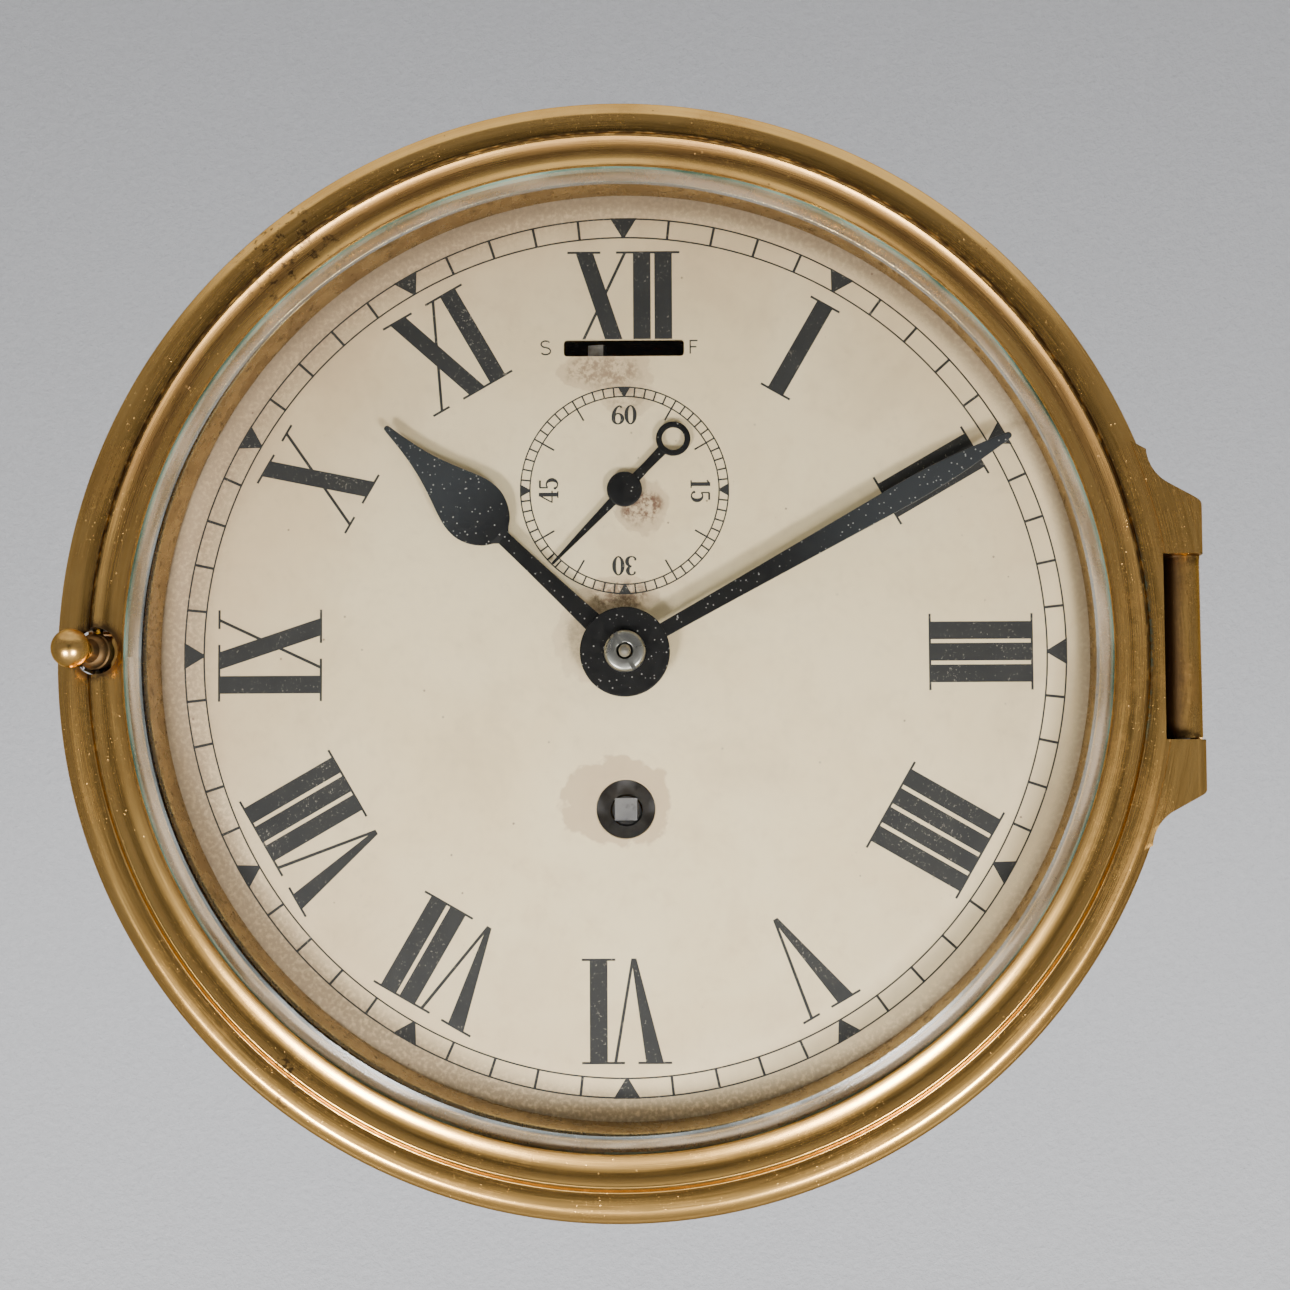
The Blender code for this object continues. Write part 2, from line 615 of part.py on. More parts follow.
def arbor_with(name, at, pivots, pieces, mat, thick=0.9):
    """A wheel and its pinion on one arbor."""
    body = rod(at, thick, pivots[0] + 2.4, pivots[1] - 2.4, 12)
    ends = rod(at, 0.5, pivots[0], pivots[1], 10)
    part(name, joined(body, ends, *pieces), mat, (*at, 0.0))


def going_train():
    barrel_ratio = GREAT[0] / INTERMEDIATE_PINION[0]
    pinion_phase = bearing(INTERMEDIATE, BARREL) - barrel_ratio * BARREL_TURN
    pieces = [wheel_at(INTERMEDIATE_WHEEL, INTERMEDIATE, 27.6, 28.6, bearing(INTERMEDIATE, CENTRE)),
              wheel_at(INTERMEDIATE_PINION, INTERMEDIATE, 41.7, 44.0, pinion_phase)]
    arbor_with("intermediate_wheel", INTERMEDIATE, (24.4, 47.6), pieces, brass_plate)

    phase = gap_phase(CENTRE_PINION, CENTRE, INTERMEDIATE)
    pieces = [wheel_at(CENTRE_WHEEL, CENTRE, 30.4, 31.5, bearing(CENTRE, THIRD)),
              wheel_at(CENTRE_PINION, CENTRE, 27.2, 29.4, phase),
              turned([(0, 64.9), (0.6, 64.8), (1.0, 64.5), (1.0, 23.6), (0, 23.6)], CENTRE, 12)]
    part("centre_wheel", joined(*pieces), brass_plate)

    phase = gap_phase(THIRD_PINION, THIRD, CENTRE)
    pieces = [wheel_at(THIRD_WHEEL, THIRD, 38.0, 39.0, bearing(THIRD, FOURTH)),
              wheel_at(THIRD_PINION, THIRD, 29.9, 32.0, phase, 0.32)]
    arbor_with("third_wheel", THIRD, (24.4, 47.6), pieces, brass_plate, 0.8)

    gaps = prism([(x + FOURTH[0], y + FOURTH[1]) for x, y in crown_gaps()], 28.2, 30.0)
    rim = [(0, 27.0), (9.6, 27.0), (9.6, 28.9), (8.6, 28.9), (8.6, 27.9), (0, 27.9)]
    crown = turned(rim, FOURTH, 30)
    phase = gap_phase(FOURTH_PINION, FOURTH, THIRD)
    pieces = [cut(crown, gaps), rod(FOURTH, 0.5, 24.4, 58.6, 10),
              wheel_at(FOURTH_PINION, FOURTH, 37.4, 39.6, phase, 0.32)]
    part("fourth_wheel", joined(rod(FOURTH, 0.7, 26.6, 45.6, 12), *pieces), brass_plate, (*FOURTH, 0.0))


def crown_gaps(count=20):
    """A star whose arms cut the gaps of the contrate wheel's rim."""
    points = []
    for i in range(count):
        middle = math.tau * i / count
        for turn, radius in ((-0.11, 7.6), (-0.07, 11.0), (0.07, 11.0), (0.11, 7.6)):
            points.append((radius * math.cos(middle + turn), radius * math.sin(middle + turn)))
    return points


def motion_work():
    """The wheels under the dial that take the hour hand round once for twelve turns."""
    bore = rod(CENTRE, 1.3, 45, 65, 12)
    cannon = joined(wheel_at(CANNON, CENTRE, 48.6, 50.4, gap_phase(CANNON, CENTRE, MINUTE)),
                    rod(CENTRE, 1.85, 50.0, 61.4, 16))
    part("cannon_pinion", cut(cannon, bore), steel)

    pinion = wheel_at(MINUTE_PINION, MINUTE, 50.6, 53.6, gap_phase(MINUTE_PINION, MINUTE, CENTRE))
    wheel = wheel_at(MINUTE_WHEEL, MINUTE, 49.0, 50.0, bearing(MINUTE, CENTRE))
    body = joined(wheel, rod(MINUTE, 1.3, 49.5, 51.0, 12), pinion)
    part("minute_wheel", cut(body, rod(MINUTE, 0.9, 45, 55, 12)), brass_plate, (*MINUTE, 0.0))
    profile = [(0, 48.3), (0.6, 48.3), (0.6, 53.9), (1.2, 53.9), (1.2, 54.5), (0, 54.5)]
    part("minute_wheel_post", turned(profile, MINUTE, 12), steel)

    hour = joined(wheel_at(HOUR_WHEEL, CENTRE, 51.8, 52.8, bearing(CENTRE, MINUTE)),
                  rod(CENTRE, 3.1, 51.4, 59.9, 20))
    part("hour_wheel", cut(hour, rod(CENTRE, 2.3, 45, 65, 16)), brass_plate)


# ---- platform escapement --------------------------------------------------------------

def platform():
    y0, y1 = PLATFORM_Y
    body = box((-14.0, 14.0), (y0, y1), (27.4, 49.5))
    hole = stood_up(rod((0, 0), 1.9, y0 - 1, y1 + 1, 12), 0.0, ESCAPE_DEPTH)
    part("platform", cut(body, hole), brass_plate)


def escape_wheel():
    points = []
    for i in range(15):
        start = math.tau * i / 15
        points.append((3.6 * math.cos(start), 3.6 * math.sin(start)))
        points.append((2.6 * math.cos(start + 0.12), 2.6 * math.sin(start + 0.12)))
    body = joined(prism(points, 40.5, 41.1), rod((0, 0), 0.5, 31.4, 42.0, 10),
                  prism(teeth((7, 0.42)), 32.6, 36.6))
    part("escape_wheel", stood_up(body, 0.0, ESCAPE_DEPTH), steel, (0.0, 40.0, ESCAPE_DEPTH))


def pallet_lever():
    """Fork and pallets, drawn with depth as the second axis."""
    outline = [(-0.5, 4.6), (-1.0, 4.7), (-0.6, 1.0), (-4.4, -0.9), (-4.4, -2.4), (-3.8, -2.4),
               (-3.6, -1.3), (0.0, -0.7), (3.6, -1.3), (3.8, -2.4), (4.4, -2.4), (4.4, -0.9),
               (0.6, 1.0), (1.0, 4.7), (0.5, 4.6), (0.3, 3.9), (-0.3, 3.9)]
    body = joined(prism([(x, -z) for x, z in outline], 40.5, 41.0), rod((0, 0), 0.4, 40.2, 43.0, 10))
    part("pallet_lever", stood_up(body, 0.0, PALLET_DEPTH), steel, (0.0, 40.0, PALLET_DEPTH))


def balance():
    rim = turned([(7.4, 43.0), (8.5, 43.0), (8.5, 44.0), (7.4, 44.0)], steps=32)
    arm = box((-7.8, 7.8), (-0.7, 0.7), (43.2, 43.8))
    staff = turned([(0, 41.9), (0.8, 41.9), (0.8, 42.4), (0.5, 42.4), (0.5, 45.7), (0, 45.7)], steps=12)
    part("balance_wheel", stood_up(joined(rim, arm, staff), 0.0, BALANCE_DEPTH), brass_bright,
         (0.0, 43.0, BALANCE_DEPTH))
    coil = ribbon(spiral(1.4, 5.6, 4.0, 0.25, 12), 44.6, 45.2)
    part("hairspring", stood_up(coil, 0.0, BALANCE_DEPTH), steel, (0.0, 43.0, BALANCE_DEPTH))


def balance_cock():
    foot = box((-13.6, -9.6), (40.3, 46.4), (38.5, 46.5))
    arm = box((-13.6, 2.6), (46.0, 47.7), (39.9, 45.1))
    part("balance_cock", joined(foot, arm), brass_plate)


def regulator_index():
    """The arm whose tip shows in the dial's slot, on a collar above the balance cock."""
    reach = 13.7
    tilt = math.radians(-19.5)
    body = joined(rod((0, 0), 2.4, 48.0, 49.2, 16), box((-0.9, 0.9), (-reach, -1.0), (48.2, 49.1)),
                  box((-1.3, 1.3), (-reach, 1.6 - reach), (48.1, 49.9)))
    body.transform(Matrix.Rotation(tilt, 4, "Z"))
    part("regulator_index", stood_up(body, 0.0, BALANCE_DEPTH), steel, (0.0, 48.0, BALANCE_DEPTH))


remove_old_objects()
frame = make_frame()
brass_case = finish("brass_case", (0.52, 0.33, 0.10), 1.0, 0.32)
brass_bright = finish("brass_bright", (0.62, 0.44, 0.18), 1.0, 0.28)
brass_plate = finish("brass_plate", (0.66, 0.50, 0.24), 1.0, 0.30)
steel = finish("steel", (0.55, 0.55, 0.56), 1.0, 0.35)
blackened = finish("blackened_steel", (0.012, 0.012, 0.013), 0.2, 0.45)
dial_paint = finish("dial_paint", (0.70, 0.61, 0.47), 0.0, 0.55)
clear_glass = finish("clear_glass", (0.90, 0.97, 0.95), 0.0, 0.02)

case_flange()
case_drum()
case_mouth()
back_cover()
hinge_bracket()
dial()
dial_surround()
bezel_ring()
glass()
glass_ring()
hinge_pin()
latch()
hour_hand()
minute_hand()
seconds_hand()
hand_nut()
movement_plates()
pillars()
dial_feet()
barrel()
mainspring()
winding_arbor()
ratchet()
going_train()
motion_work()
platform()
escape_wheel()
pallet_lever()
balance()
balance_cock()
regulator_index()
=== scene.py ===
"""Looks of the ship's bulkhead clock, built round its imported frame.

Shapes are drawn in the clock's own millimetres: x to the right, y towards 12 o'clock and
z out of the dial, from the back face. piece() turns them into the frame's metres.
"""

import json
import math

import bmesh
import bpy
from mathutils import Matrix, Vector


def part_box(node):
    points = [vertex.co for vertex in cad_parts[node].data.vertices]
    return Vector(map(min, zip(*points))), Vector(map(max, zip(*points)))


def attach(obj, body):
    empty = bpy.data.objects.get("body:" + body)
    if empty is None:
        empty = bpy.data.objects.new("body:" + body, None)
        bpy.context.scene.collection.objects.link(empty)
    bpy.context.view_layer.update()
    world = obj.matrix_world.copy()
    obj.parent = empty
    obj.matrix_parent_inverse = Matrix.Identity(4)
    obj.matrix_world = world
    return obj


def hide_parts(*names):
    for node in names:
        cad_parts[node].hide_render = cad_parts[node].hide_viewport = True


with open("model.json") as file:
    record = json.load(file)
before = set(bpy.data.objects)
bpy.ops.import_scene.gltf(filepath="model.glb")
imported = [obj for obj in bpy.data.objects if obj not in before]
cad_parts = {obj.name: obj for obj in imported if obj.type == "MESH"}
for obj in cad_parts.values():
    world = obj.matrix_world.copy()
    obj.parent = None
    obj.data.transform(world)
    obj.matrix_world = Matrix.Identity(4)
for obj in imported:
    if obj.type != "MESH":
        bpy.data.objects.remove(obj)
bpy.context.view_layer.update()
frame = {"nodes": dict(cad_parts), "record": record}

MM = 0.001
GAP = 0.3                       # clearance between pieces that touch
ROUND = 240                     # facets of the big rings
RECORD = frame["record"]


# ---- places, read from the frame ----

def extent(node):
    """A node's lowest and highest x, y and z, in the clock's millimetres."""
    low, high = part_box(node)
    return ((low[0] / MM, high[0] / MM), (low[2] / MM, high[2] / MM), (-high[1] / MM, -low[1] / MM))


def middle(node):
    x, y, _ = extent(node)
    return (sum(x) / 2.0, sum(y) / 2.0)


def radius(node):
    _, y, _ = extent(node)
    return (y[1] - y[0]) / 2.0


def depth(node):
    return extent(node)[2]


def joint_at(name):
    """A joint's place in the clock's millimetres."""
    for joint in RECORD["behaviour"]["joints"]:
        if joint["name"] == name:
            x, y, z = joint["pos_m"]
            return (x / MM, z / MM, -y / MM)
    raise ValueError(name)


DIAL_Z = depth("dial")[1]
DIAL_R = radius("dial")
BEZEL_AT = middle("glass")
RIM_R = radius("bezel_ring")
FRONT_Z = depth("bezel_ring")[1]
MOUTH_BACK, PARTING_Z = depth("case_mouth")
MOUTH_R = radius("case_mouth")
DRUM_R = radius("case_drum")
FLANGE_R = radius("case_flange")
COVER_R = radius("back_cover")
HINGE = joint_at("bezel_hinge")
LATCH = joint_at("latch_rock")
WINDING = joint_at("winding_square")
SECONDS = joint_at("seconds_arbor")
HINGE_SCREWS = [middle("hinge_screw_%d" % i) for i in (1, 2)]
COVER_SCREWS = [middle("cover_screw_%d" % i) for i in (1, 2, 3, 4)]

CENTRE = (0.0, 0.0)
SEAT_R = 73.5                   # where the dial drops into the case's mouth
SCREW_HOLE_R = 1.3
STEP_R = RIM_R - 5.3            # the step between the bezel's band and its crest, darkened with dirt and painted shade
SIGHT_R = RIM_R - 10.9          # the bezel's inner lip
LUG_IN = 14.5                   # the bezel's lugs stand each side of this half width
LUG_OUT_X = 90.4
PIN_HOLE_R = 1.6
LATCH_HOLE = (LATCH[0] + 0.4, 0.0)
LATCH_PIN_R = 1.1
LATCH_POCKET_Y = (-3.6, 3.6)
GLASS_BEVEL = 3.8               # width of the glass's bevel, and of the zones in it
GREEN_TO = 1.15
MILKY_TO = 3.30
LINE_TO = 3.85

TRACK_OUT = 70.0                # the minute track's two lines
TRACK_IN = 66.7
NUMERAL_IN = 48.1
NUMERAL_OUT = 64.6
SLOT_Y = 49.0
SLOT_HALF = (9.6, 1.35)
SLOT_CORNER = 0.55
WINDING_HOLE_R = 4.65
HOUR_ANGLE = 313.6
MINUTE_ANGLE = 60.8
SECONDS_ANGLE = 224.1


# ---- shapes ----

def face_out(bm):
    bmesh.ops.recalc_face_normals(bm, faces=bm.faces)
    if bm.calc_volume(signed=True) < 0.0:
        bmesh.ops.reverse_faces(bm, faces=bm.faces)
    return bm


def ellipse(centre, a, b, start, end, steps):
    """Points on an ellipse's arc, from the start angle to the end angle in degrees."""
    points = []
    for i in range(steps + 1):
        angle = math.radians(start + (end - start) * i / steps)
        points.append((centre[0] + a * math.cos(angle), centre[1] + b * math.sin(angle)))
    return points


def arc(centre, size, start, end, steps):
    return ellipse(centre, size, size, start, end, steps)


def band_of(inner, outer, z0, z1):
    """The profile of a washer, or of a rod when inner is 0."""
    return [(inner, z0), (outer, z0), (outer, z1), (inner, z1)]


def softened(points, reach, steps=3):
    """A closed outline with each clear corner turned into a short curve."""
    result = []
    for i, at in enumerate(points):
        at = Vector(at)
        back = Vector(points[i - 1]) - at
        on = Vector(points[(i + 1) % len(points)]) - at
        if back.angle(on) > math.radians(158.0) or at.x < 1e-6:
            result.append(tuple(at))
            continue
        size = min(reach, back.length * 0.45, on.length * 0.45)
        start = at + back.normalized() * size
        end = at + on.normalized() * size
        for s in range(steps + 1):
            t = s / steps
            result.append(tuple(start * (1 - t) ** 2 + at * 2 * t * (1 - t) + end * t * t))
    return result


def turned(profile, at=CENTRE, steps=ROUND):
    """A solid turned about the axis through at, parallel to z; profile holds (r, z)."""
    bm = bmesh.new()
    verts = [bm.verts.new((r, 0.0, z)) for r, z in profile]
    edges = []
    for start, end in zip(verts, verts[1:] + verts[:1]):
        if start.co.x > 1e-6 or end.co.x > 1e-6:
            edges.append(bm.edges.new((start, end)))
    bmesh.ops.spin(bm, geom=verts + edges, cent=(0, 0, 0), axis=(0, 0, 1), dvec=(0, 0, 0),
                   angle=math.tau, steps=steps, use_merge=True, use_duplicate=False)
    bmesh.ops.remove_doubles(bm, verts=bm.verts, dist=1e-4)
    bm.transform(Matrix.Translation((at[0], at[1], 0.0)))
    return face_out(bm)


def rod(at, size, z0, z1, steps=64):
    return turned(band_of(0, size, z0, z1), at, steps)


def prism(outline, z0, z1):
    bm = bmesh.new()
    face = bm.faces.new([bm.verts.new((x, y, z0)) for x, y in outline])
    made = bmesh.ops.extrude_face_region(bm, geom=[face])
    top = [item for item in made["geom"] if isinstance(item, bmesh.types.BMVert)]
    bmesh.ops.translate(bm, verts=top, vec=(0, 0, z1 - z0))
    return face_out(bm)


def box(x, y, z):
    return prism([(x[0], y[0]), (x[1], y[0]), (x[1], y[1]), (x[0], y[1])], z[0], z[1])


def stood_up(bm, x, z):
    """Turns a shape so that its own z runs along the clock's y, at the given x and depth."""
    turn = Matrix.Rotation(math.radians(-90.0), 4, "X")
    bm.transform(Matrix.Translation((x, 0.0, z)) @ turn)
    return bm


def cross_rod(size, half, at, steps=64):
    """A rod along the clock's y, through a joint's place."""
    return stood_up(rod(CENTRE, size, -half, half, steps), at[0], at[2])


def side_prism(outline, y0, y1):
    """An outline in x and z, run from y0 to y1."""
    return stood_up(prism([(x, -z) for x, z in outline], y0, y1), 0.0, 0.0)


def bevelled(bm, width, segments=3, angle=40.0):
    """Rounds every edge that is sharper than the angle."""
    sharp = [e for e in bm.edges if e.calc_face_angle(0.0) > math.radians(angle)]
    bmesh.ops.bevel(bm, geom=sharp, offset=width, segments=segments, profile=0.5,
                    affect="EDGES", clamp_overlap=True)
    return bm


def mesh_of(name, bm):
    mesh = bpy.data.meshes.new(name)
    bm.to_mesh(mesh)
    bm.free()
    return mesh


def linked(name, data):
    obj = bpy.data.objects.new(name, data)
    bpy.context.collection.objects.link(obj)
    return obj


def helper_object(bm):
    bmesh.ops.triangulate(bm, faces=[face for face in bm.faces if len(face.verts) > 4])
    return linked("helper", mesh_of("helper", bm))


def combined(base, *steps, solver="EXACT"):
    """Applies Booleans to base in order; each step is (operation, bmesh)."""
    body = helper_object(base)
    helpers = []
    for operation, bm in steps:
        helper = helper_object(bm)
        helpers.append(helper)
        boolean = body.modifiers.new(operation, "BOOLEAN")
        boolean.operation = operation
        boolean.solver = solver
        boolean.object = helper
    graph = bpy.context.evaluated_depsgraph_get()
    mesh = bpy.data.meshes.new_from_object(body.evaluated_get(graph))
    result = bmesh.new()
    result.from_mesh(mesh)
    bpy.data.meshes.remove(mesh)
    for obj in [body] + helpers:
        bpy.data.objects.remove(obj, do_unlink=True)
    bmesh.ops.remove_doubles(result, verts=result.verts, dist=1e-4)
    bmesh.ops.dissolve_degenerate(result, edges=result.edges, dist=1e-4)
    return result


def cut(base, *cutters):
    return combined(base, *[("DIFFERENCE", bm) for bm in cutters])


def piece(name, bm, material, body, replaced=(), smooth=35.0):
    """Stands a shape up in the frame, gives it its finish and lets it ride on its body."""
    bm.transform(Matrix.Scale(MM, 4) @ Matrix.Rotation(math.radians(90.0), 4, "X"))
    mesh = mesh_of(name, bm)
    mesh.shade_smooth()
    mesh.set_sharp_from_angle(angle=math.radians(smooth))
    mesh.materials.append(material)
    obj = linked(name, mesh)
    even = obj.modifiers.new("even_normals", "WEIGHTED_NORMAL")
    even.keep_sharp = True
    even.weight = 60
    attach(obj, body)
    if replaced:
        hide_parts(*replaced)
    return obj


# ---- material building blocks ----

class Finish:
    """A node material, with short calls for the nodes that the finishes share."""

    def __init__(self, name, metallic=0.0):
        self.material = bpy.data.materials.new(name)
        self.material.use_nodes = True
        self.tree = self.material.node_tree
        self.shader = self.tree.nodes["Principled BSDF"]
        self.set("Metallic", metallic)
        scale = self.node("VectorMath")
        scale.operation = "SCALE"
        scale.inputs["Scale"].default_value = 1.0 / MM
        self.feed(scale.inputs[0], self.node("TexCoord").outputs["Object"])
        self.place = scale.outputs[0]
        split = self.node("SeparateXYZ", Vector=self.place)
        self.x = split.outputs["X"]
        self.y = split.outputs["Z"]
        self.z = self.times(split.outputs["Y"], -1.0)

    def feed(self, socket, value):
        if isinstance(value, bpy.types.NodeSocket):
            self.tree.links.new(value, socket)
        else:
            socket.default_value = value

    def node(self, kind, **inputs):
        """A new node; each input is set or fed by its name, with _ for a space."""
        node = self.tree.nodes.new("ShaderNode" + kind)
        for name, value in inputs.items():
            self.feed(node.inputs[name.replace("_", " ")], value)
        return node

    def set(self, name, value):
        self.feed(self.shader.inputs[name], value)

    def math(self, operation, a, b=0.0):
        node = self.node("Math")
        node.operation = operation
        self.feed(node.inputs[0], a)
        self.feed(node.inputs[1], b)
        return node.outputs[0]

    def times(self, *values):
        result = values[0]
        for value in values[1:]:
            result = self.math("MULTIPLY", result, value)
        return result

    def plus(self, a, b):
        return self.math("ADD", a, b)

    def less(self, a, b):
        return self.math("SUBTRACT", a, b)

    def most(self, a, b):
        return self.math("MAXIMUM", a, b)

    def swing(self, value, reach):
        """Turns 0 to 1 into a shift of half the reach to each side."""
        return self.times(self.less(value, 0.5), reach)

    def vector(self, x, y, z=0.0):
        return self.node("CombineXYZ", X=x, Y=y, Z=z).outputs[0]

    def away(self, at, stretch=(1.0, 1.0)):
        """Distance from a point of the dial, in mm."""
        dx = self.math("DIVIDE", self.less(self.x, at[0]), stretch[0])
        dy = self.math("DIVIDE", self.less(self.y, at[1]), stretch[1])
        return self.math("SQRT", self.plus(self.times(dx, dx), self.times(dy, dy)))

    def bearing(self, at):
        """Turn about a point of the dial, from -pi to pi, with 0 towards 3 o'clock."""
        return self.math("ARCTAN2", self.less(self.y, at[1]), self.less(self.x, at[0]))

    def noise(self, scale, detail=3.0, place=None, rough=0.5, bent=0.0):
        node = self.node("TexNoise", Scale=scale, Detail=detail, Roughness=rough, Distortion=bent,
                         Vector=place or self.place)
        return node.outputs["Fac"]

    def spots(self, scale, size):
        """1 inside scattered round spots, 0 elsewhere."""
        node = self.node("TexVoronoi", Scale=scale, Randomness=1.0, Vector=self.place)
        return self.fade(node.outputs["Distance"], size, size * 0.5)

    def fade(self, value, start, end, low=0.0, high=1.0):
        """A smooth step: low at start, high at end."""
        if start > end:
            start, end, low, high = end, start, high, low
        node = self.node("MapRange", Value=value, From_Min=start, From_Max=end, To_Min=low, To_Max=high)
        node.interpolation_type = "SMOOTHSTEP"
        return node.outputs[0]

    def band(self, value, centre, half, soft):
        """1 within half of the centre, fading to 0 over soft."""
        return self.fade(self.math("ABSOLUTE", self.less(value, centre)), half + soft, half)

    def mix(self, mask, low, high):
        node = self.node("Mix")
        node.data_type = "RGBA"
        self.feed(node.inputs[0], mask)
        for socket, colour in ((node.inputs[6], low), (node.inputs[7], high)):
            if isinstance(colour, tuple):
                colour = (*colour, 1.0)
            self.feed(socket, colour)
        return node.outputs[2]

    def coats(self, colour, *layers):
        """Colours laid over each other; each layer is (mask, strength, colour)."""
        for mask, strength, tint in layers:
            colour = self.mix(self.times(mask, strength), colour, tint)
        return colour

    def done(self, colour, rough, *layers):
        """Sets the colour, roughness and bumps; each layer is (height mask, height in mm)."""
        self.set("Base Color", colour)
        self.set("Roughness", rough)
        normal = None
        for mask, height in layers:
            node = self.node("Bump", Strength=1.0, Distance=height * MM, Height=mask)
            if normal:
                self.feed(node.inputs["Normal"], normal)
            normal = node.outputs[0]
        self.set("Normal", normal)
        return self.material


GOLD = (0.78, 0.470, 0.140)
HONEY = (0.64, 0.360, 0.098)
BROWN = (0.270, 0.140, 0.050)
EDGE_TINT = (0.80, 0.58, 0.30, 1.0)  # what the brass reflects at a glance
DARK = (0.060, 0.036, 0.020)
VERDIGRIS = (0.14, 0.19, 0.13)


def aged_brass(name, about, lines=1.0, tarnish=0.0, marks=(), matte=0.10):
    """Turned brass gone brown, with pits; marks are (mask maker, colour) on top."""
    look = Finish(name, metallic=1.0)
    away = look.away(about)
    bearing = look.bearing(about)

    def drawn_out(across, round_it, rough):
        place = look.vector(look.times(away, across), look.times(look.z, across),
                            look.times(bearing, round_it))
        return look.noise(1.0, 3.0, place, rough)

    streaks = drawn_out(1.1, 1.6, 0.6)
    scratches = drawn_out(7.0, 6.0, 0.75)
    broad = look.noise(0.045, 4.0, rough=0.6, bent=0.6)
    fine = look.noise(0.9, 5.0, rough=0.75)
    tone = look.plus(look.times(broad, 0.5), look.times(streaks, 0.5))
    darker = tarnish * 0.12
    dusk = look.fade(look.plus(look.times(broad, 0.7), look.times(fine, 0.3)),
                     0.46 - tarnish * 0.1, 0.74 - tarnish * 0.1)
    patches = look.fade(look.noise(0.06, 3.0, rough=0.7), 0.52, 0.62)
    pits = look.times(look.spots(0.75, 0.13), look.fade(fine, 0.40, 0.56), patches)
    specks = look.times(look.spots(1.7, 0.12), look.fade(broad, 0.44, 0.58))
    dirt = look.most(pits, specks)
    colour = look.coats(look.mix(look.fade(tone, 0.34 - darker, 0.66 - darker), GOLD, HONEY),
                        (dusk, 0.40 + 0.3 * tarnish, BROWN), (look.fade(scratches, 0.50, 0.75), 0.20, BROWN),
                        (pits, 0.9, DARK), (specks, 0.55, DARK))
    dull = dusk
    for make, tint in marks:
        mask = make(look, away)
        colour = look.mix(mask, colour, tint)
        dull = look.most(dull, mask)
    look.set("Specular Tint", EDGE_TINT)
    look.set("Metallic", look.less(1.0, look.times(dirt, 0.7)))
    rough = look.plus(look.fade(scratches, 0.3, 0.7, 0.19, 0.27), look.times(dull, matte))
    grooves = look.plus(look.noise(2.4, 2.0, look.vector(away, look.z), rough=0.6), scratches)
    return look.done(colour, look.plus(rough, look.times(dirt, 0.25)), (grooves, 0.0032 * lines),
                     (look.noise(0.35, 3.0), 0.008), (look.less(1.0, dirt), 0.03))


def bezel_marks():
    """Dirt and painted shade in the step, worn brown at the inner lip, painted shade on the crest's upper
    half, in the hinge notch and round the latch hole, old spills, and verdigris beside the hinge.
    """
    def dirt(look, away):
        ragged = look.fade(look.noise(0.5, 3.0), 0.25, 0.55)
        # Painted shade: the step's dirt is laid on heavier towards the top, over the crest's edge.
        high = look.fade(look.y, -30.0, 15.0, 0.45, 1.0)
        return look.times(look.band(away, STEP_R, 0.38, 0.45), ragged, high, 0.95)

    def lip(look, away):
        inner = look.fade(away, SIGHT_R + 0.8, SIGHT_R + 0.3)
        return look.times(inner, look.fade(look.noise(0.3), 0.3, 0.6), 0.6)

    def crest_painted_shade(look, away):
        # Painted shade: brown over the crest's upper half, where it would catch the light.
        on_top = look.band(away, STEP_R - 2.1, 1.1, 0.7)
        ragged = look.fade(look.noise(0.25, 4.0), 0.25, 0.55, 0.6, 1.0)
        return look.times(on_top, look.fade(look.y, 0.0, 35.0), ragged, 0.70)

    def old_spill(look, away):
        up = look.fade(look.away((-52.0, 62.0)), 12.0, 5.0)
        down = look.fade(look.away((-53.0, -66.0)), 7.0, 2.5)
        ragged = look.fade(look.noise(0.55, 4.0, rough=0.75), 0.54, 0.62)
        return look.times(look.most(up, down), ragged, 0.85)

    def hinge_green(look, away):
        near = look.fade(look.away((HINGE[0] - 5.0, 0.0), (0.6, 2.4)), 11.0, 4.0)
        strip = look.band(away, STEP_R + 0.3, 0.25, 0.45)
        return look.times(near, strip, look.fade(look.noise(0.8, 4.0, rough=0.7), 0.42, 0.60), 0.8)

    def notch_painted_shade(look, away):
        # Painted shade: the notch's wall darkens deeper in, beside the knuckle.
        near = look.times(look.fade(look.x, 83.2, 83.7), look.band(look.y, 0.0, LUG_IN + 0.1, 0.3))
        return look.times(near, look.fade(look.z, 67.0, 66.2), 0.9)

    def hole_painted_shade(look, away):
        # Painted shade: dark round the latch hole, over the highlights its cut edge would show.
        ragged = look.fade(look.noise(0.9, 4.0), 0.20, 0.50, 0.6, 1.0)
        return look.times(look.fade(look.away(LATCH_HOLE), 5.4, 4.0), ragged, 0.92)

    return ((dirt, DARK), (lip, BROWN), (crest_painted_shade, BROWN), (old_spill, DARK), (hinge_green, VERDIGRIS),
            (notch_painted_shade, DARK), (hole_painted_shade, DARK))


